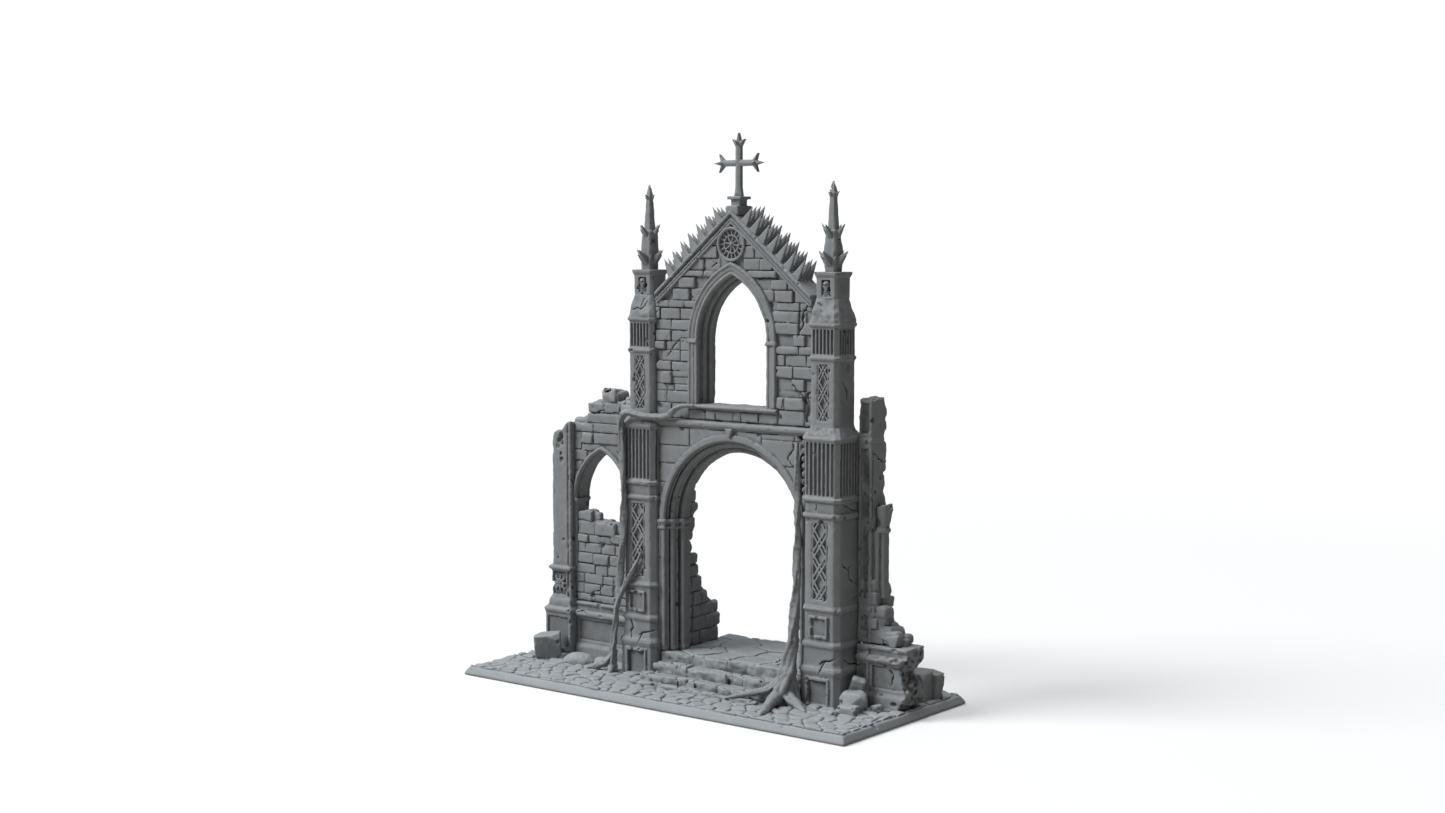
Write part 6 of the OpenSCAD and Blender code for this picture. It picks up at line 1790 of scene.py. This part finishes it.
limb(upper, 16, (-37, -10.9, 54, 1.4), (-36.5, -10.5, 64, 1.3), (-36.3, -10.3, 72, 1.45),
     (-36.4, -10.4, 82, 1.25), (-37.0, -10.4, 92, 1.2), (-37.4, -10.4, 102, 1.25),
     (-37.5, -10.7, 108, 1.35), (-36.8, -11.1, 112.6, 1.5), (-34.0, -11.0, 114.8, 1.5),
     (-29.0, -10.4, 114.2, 1.4), (-23.6, -9.0, 113.4, 1.4), (-17.6, -8.2, 113.6, 1.35),
     (-13.4, -8.0, 114.6, 1.25), (-10.2, -7.9, 117.4, 1.15), (-6.6, -7.7, 118.7, 0.95),
     (-1.2, -7.3, 118.9, 0.5))
limb(upper, 19, (-38.0, -9.8, 57, 0.7), (-37.6, -9.0, 66, 0.9), (-37.8, -8.0, 73, 0.9),
     (-37.6, -8.6, 80, 0.8), (-36.8, -10.0, 88, 0.6))
limb(upper, 17, (-37.4, -10.7, 90, 0.5), (-36.2, -10.9, 99, 0.6), (-36.6, -11.4, 108, 0.5))
bark(upper, 94)
upper.clip(VINE_SPLIT - Z)
cast("ivy_vine", lower, upper, slot="growth_casting", material=GROWTH)

# ------------------------------------------------------------------ loose rubble
# kind, x, y, half length, half width, height, turn
RUBBLE = [("upright", -82.6, -8.4, 5.3, 2.8, 10.8, 38), ("rounded", -64, -8.4, 7.2, 4.0, 4.6, 14),
          ("rounded", -53.6, -5.6, 4.4, 2.6, 3.8, -16), ("plain", -77.4, -5.2, 2.8, 2, 2.4, 30),
          ("pair", 77.6, -5.4, 3.6, 4.2, 9.4, 24), ("plain", 80.4, -12.2, 4.6, 3, 3.2, -12),
          ("plain", 87.2, -3.8, 2.2, 1.8, 3, 18), ("plain", 75.8, -17.6, 2.4, 1.6, 1.8, -30),
          ("block", 89.4, 22.4, 4.4, 4.8, 12.4, 8), ("block", 92, 29.6, 3.6, 2.4, 11.2, -6),
          ("plain", -47.6, -6, 2.2, 1.4, 2.2, 10)]


def rubble(index, kind, x, y, a, b, height, turn):
    reach = max(a, b) * 1.5 + 1
    z = BASE_TOP
    grid, X, Y, Z = new_grid((x - reach, y - reach, 3.0),
                             (x + reach, y + reach, z + height + 6.5), 0.3)
    middle = z + height / 2 - 0.3
    if kind == "pair":  # a rounded boulder with a tall block leaning behind it
        stone(grid, x + 1.0, y - 1.4, z + 3.1, 5.4, 4.4, 4.4, 30, 143, 0.84)
        grid.clip((np.sqrt(((X - x - 1.0) / 7.4) ** 2 + ((Y - y + 1.4) / 6.3) ** 2
                           + ((Z - z - 2.2) / 6.4) ** 2) - 1) * 5)
        grid.add(box(x - 3.2, x + 2.8, y + 1.0, y + 4.6, z + 4.5, z + 12.6, 0.8, rot(14, 20, 26)))
        dents(grid, (x + 2.6, y + 1.0, z + 12.6, 1.5, 1.4, 1.3))
    elif kind == "upright":
        stone(grid, x, y, middle, a * 1.08, b * 1.3, height / 2 + 0.4, turn, 150, 0.98)
        dents(grid, (x - 2, y - 3.8, z + 7.2, 1.0, 1.2, 1.1))
    else:
        seed, keep = (160, 1.08) if kind == "block" else (170, 0.98)
        stone(grid, x, y, middle, a * 1.08, b * 1.08, height / 2 + 0.3, turn, seed + index, keep)
    if kind == "rounded":
        co, si = math.cos(math.radians(turn)), math.sin(math.radians(turn))
        U, V = (X - x) * co + (Y - y) * si, (Y - y) * co - (X - x) * si
        grid.clip((np.sqrt((U / a / 1.12) ** 2 + (V / b / 1.2) ** 2
                           + ((Z - z) / height / 1.06) ** 2) - 1) * 3)
    finish(grid, 500 + index, wear=0.9, rough=1.1, pits=1.2, chips=6)
    grid.clip(3.5 - Z)
    return grid


cast("loose_rubble", *[rubble(k, *row) for k, row in enumerate(RUBBLE)],
     slot="rubble_casting", material=GROUND)

# ------------------------------------------------------------------ put the pieces on the frame
for piece, node, slot in PIECES:
    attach(piece, "root")
    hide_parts(node)
for node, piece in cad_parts.items():
    piece.data.materials.clear()
    piece.data.materials.append(PEG if node == "locating_pegs" else STONE)


# ------------------------------------------------------------------ floor, light, camera
def paper():
    """Matt paper. The camera sees a pale floor that fades to white further out."""
    material = bpy.data.materials.new("floor_paper")
    material.use_nodes = True
    nodes, links = material.node_tree.nodes, material.node_tree.links
    matt = nodes["Principled BSDF"]
    matt.inputs["Base Color"].default_value = (0.36, 0.345, 0.33, 1)
    matt.inputs["Roughness"].default_value = 0.95
    matt.inputs["Specular IOR Level"].default_value = 0.05
    white = nodes.new("ShaderNodeEmission")
    white.inputs["Color"].default_value = (1, 1, 1, 1)
    white.inputs["Strength"].default_value = 1.02
    pale = nodes.new("ShaderNodeBsdfDiffuse")
    pale.inputs["Color"].default_value = (0.74, 0.74, 0.745, 1)
    place = nodes.new("ShaderNodeNewGeometry")
    distance = nodes.new("ShaderNodeVectorMath")
    distance.operation = "LENGTH"
    links.new(place.outputs["Position"], distance.inputs[0])
    # share of white against distance from the origin in metres
    fade = nodes.new("ShaderNodeMapRange")
    fade.interpolation_type = "SMOOTHSTEP"
    ends = (("From Min", 0.22), ("From Max", 0.95), ("To Min", 0.15), ("To Max", 1.0))
    for label, value in ends:
        fade.inputs[label].default_value = value
    links.new(distance.outputs["Value"], fade.inputs["Value"])

    def mix(factor, first, second):
        node = nodes.new("ShaderNodeMixShader")
        for k, source in enumerate((factor, first, second)):
            links.new(source, node.inputs[k])
        return node.outputs[0]

    seen = mix(fade.outputs["Result"], pale.outputs[0], white.outputs[0])
    ray = nodes.new("ShaderNodeLightPath")
    result = mix(ray.outputs["Is Camera Ray"], matt.outputs[0], seen)
    links.new(result, nodes["Material Output"].inputs["Surface"])
    return material


scene = bpy.context.scene
FLOOR_HALF = 6.0
floor_material = paper()
mesh = bpy.data.meshes.new("floor")
mesh.from_pydata([(-FLOOR_HALF, -FLOOR_HALF, 0), (FLOOR_HALF, -FLOOR_HALF, 0),
                  (FLOOR_HALF, FLOOR_HALF, 0), (-FLOOR_HALF, FLOOR_HALF, 0)], [], [(0, 1, 2, 3)])
floor = bpy.data.objects.new("floor", mesh)
mesh.materials.append(floor_material)
scene.collection.objects.link(floor)
floor.location.z = -0.00005  # just under the base, so the faces do not touch


def studio():
    """World that lights warmly and dimly but looks white to the camera."""
    world = bpy.data.worlds.new("studio")
    scene.world = world
    world.use_nodes = True
    nodes, links = world.node_tree.nodes, world.node_tree.links
    glow = nodes["Background"]
    glow.inputs["Color"].default_value = (1.0, 0.955, 0.9, 1)
    glow.inputs["Strength"].default_value = 0.078
    white = nodes.new("ShaderNodeBackground")
    white.inputs["Color"].default_value = (1, 1, 1, 1)
    white.inputs["Strength"].default_value = 1.02
    ray = nodes.new("ShaderNodeLightPath")
    mix = nodes.new("ShaderNodeMixShader")
    links.new(ray.outputs["Is Camera Ray"], mix.inputs[0])
    links.new(glow.outputs[0], mix.inputs[1])
    links.new(white.outputs[0], mix.inputs[2])
    links.new(mix.outputs[0], nodes["World Output"].inputs["Surface"])


def lamp(name, place, aim, size, power, colour):
    light = bpy.data.lights.new(name, "AREA")
    light.shape = "DISK"
    light.size = size
    light.energy = power
    light.color = colour
    holder = bpy.data.objects.new(name, light)
    scene.collection.objects.link(holder)
    holder.location = place
    direction = Vector(aim) - Vector(place)
    holder.rotation_euler = direction.to_track_quat("-Z", "Y").to_euler()


studio()
lamp("key", place=(-3.3, -3.5, 4.3), aim=(0, 0, 0.09), size=3.4, power=440.0,
     colour=(0.97, 0.99, 1))
lamp("fill", place=(0.8, -5.6, 2.0), aim=(0, 0, 0.1), size=4.8, power=12.0,
     colour=(1, 0.98, 0.95))
lamp("top", place=(-0.3, 0.0, 5.7), aim=(0, 0, 0), size=3.6, power=232.0,
     colour=(0.96, 0.99, 1))

camera = bpy.data.cameras.new("cam")
holder = bpy.data.objects.new("cam", camera)
scene.collection.objects.link(holder)
holder.location = (0.509226, -0.638549, 0.187481)
holder.rotation_euler = (math.radians(90 - 4.846), 0, math.radians(38.115))
camera.sensor_width = 36
camera.lens = 49.502093
camera.clip_start = 0.01
scene.camera = holder
scene.view_settings.view_transform = "Standard"
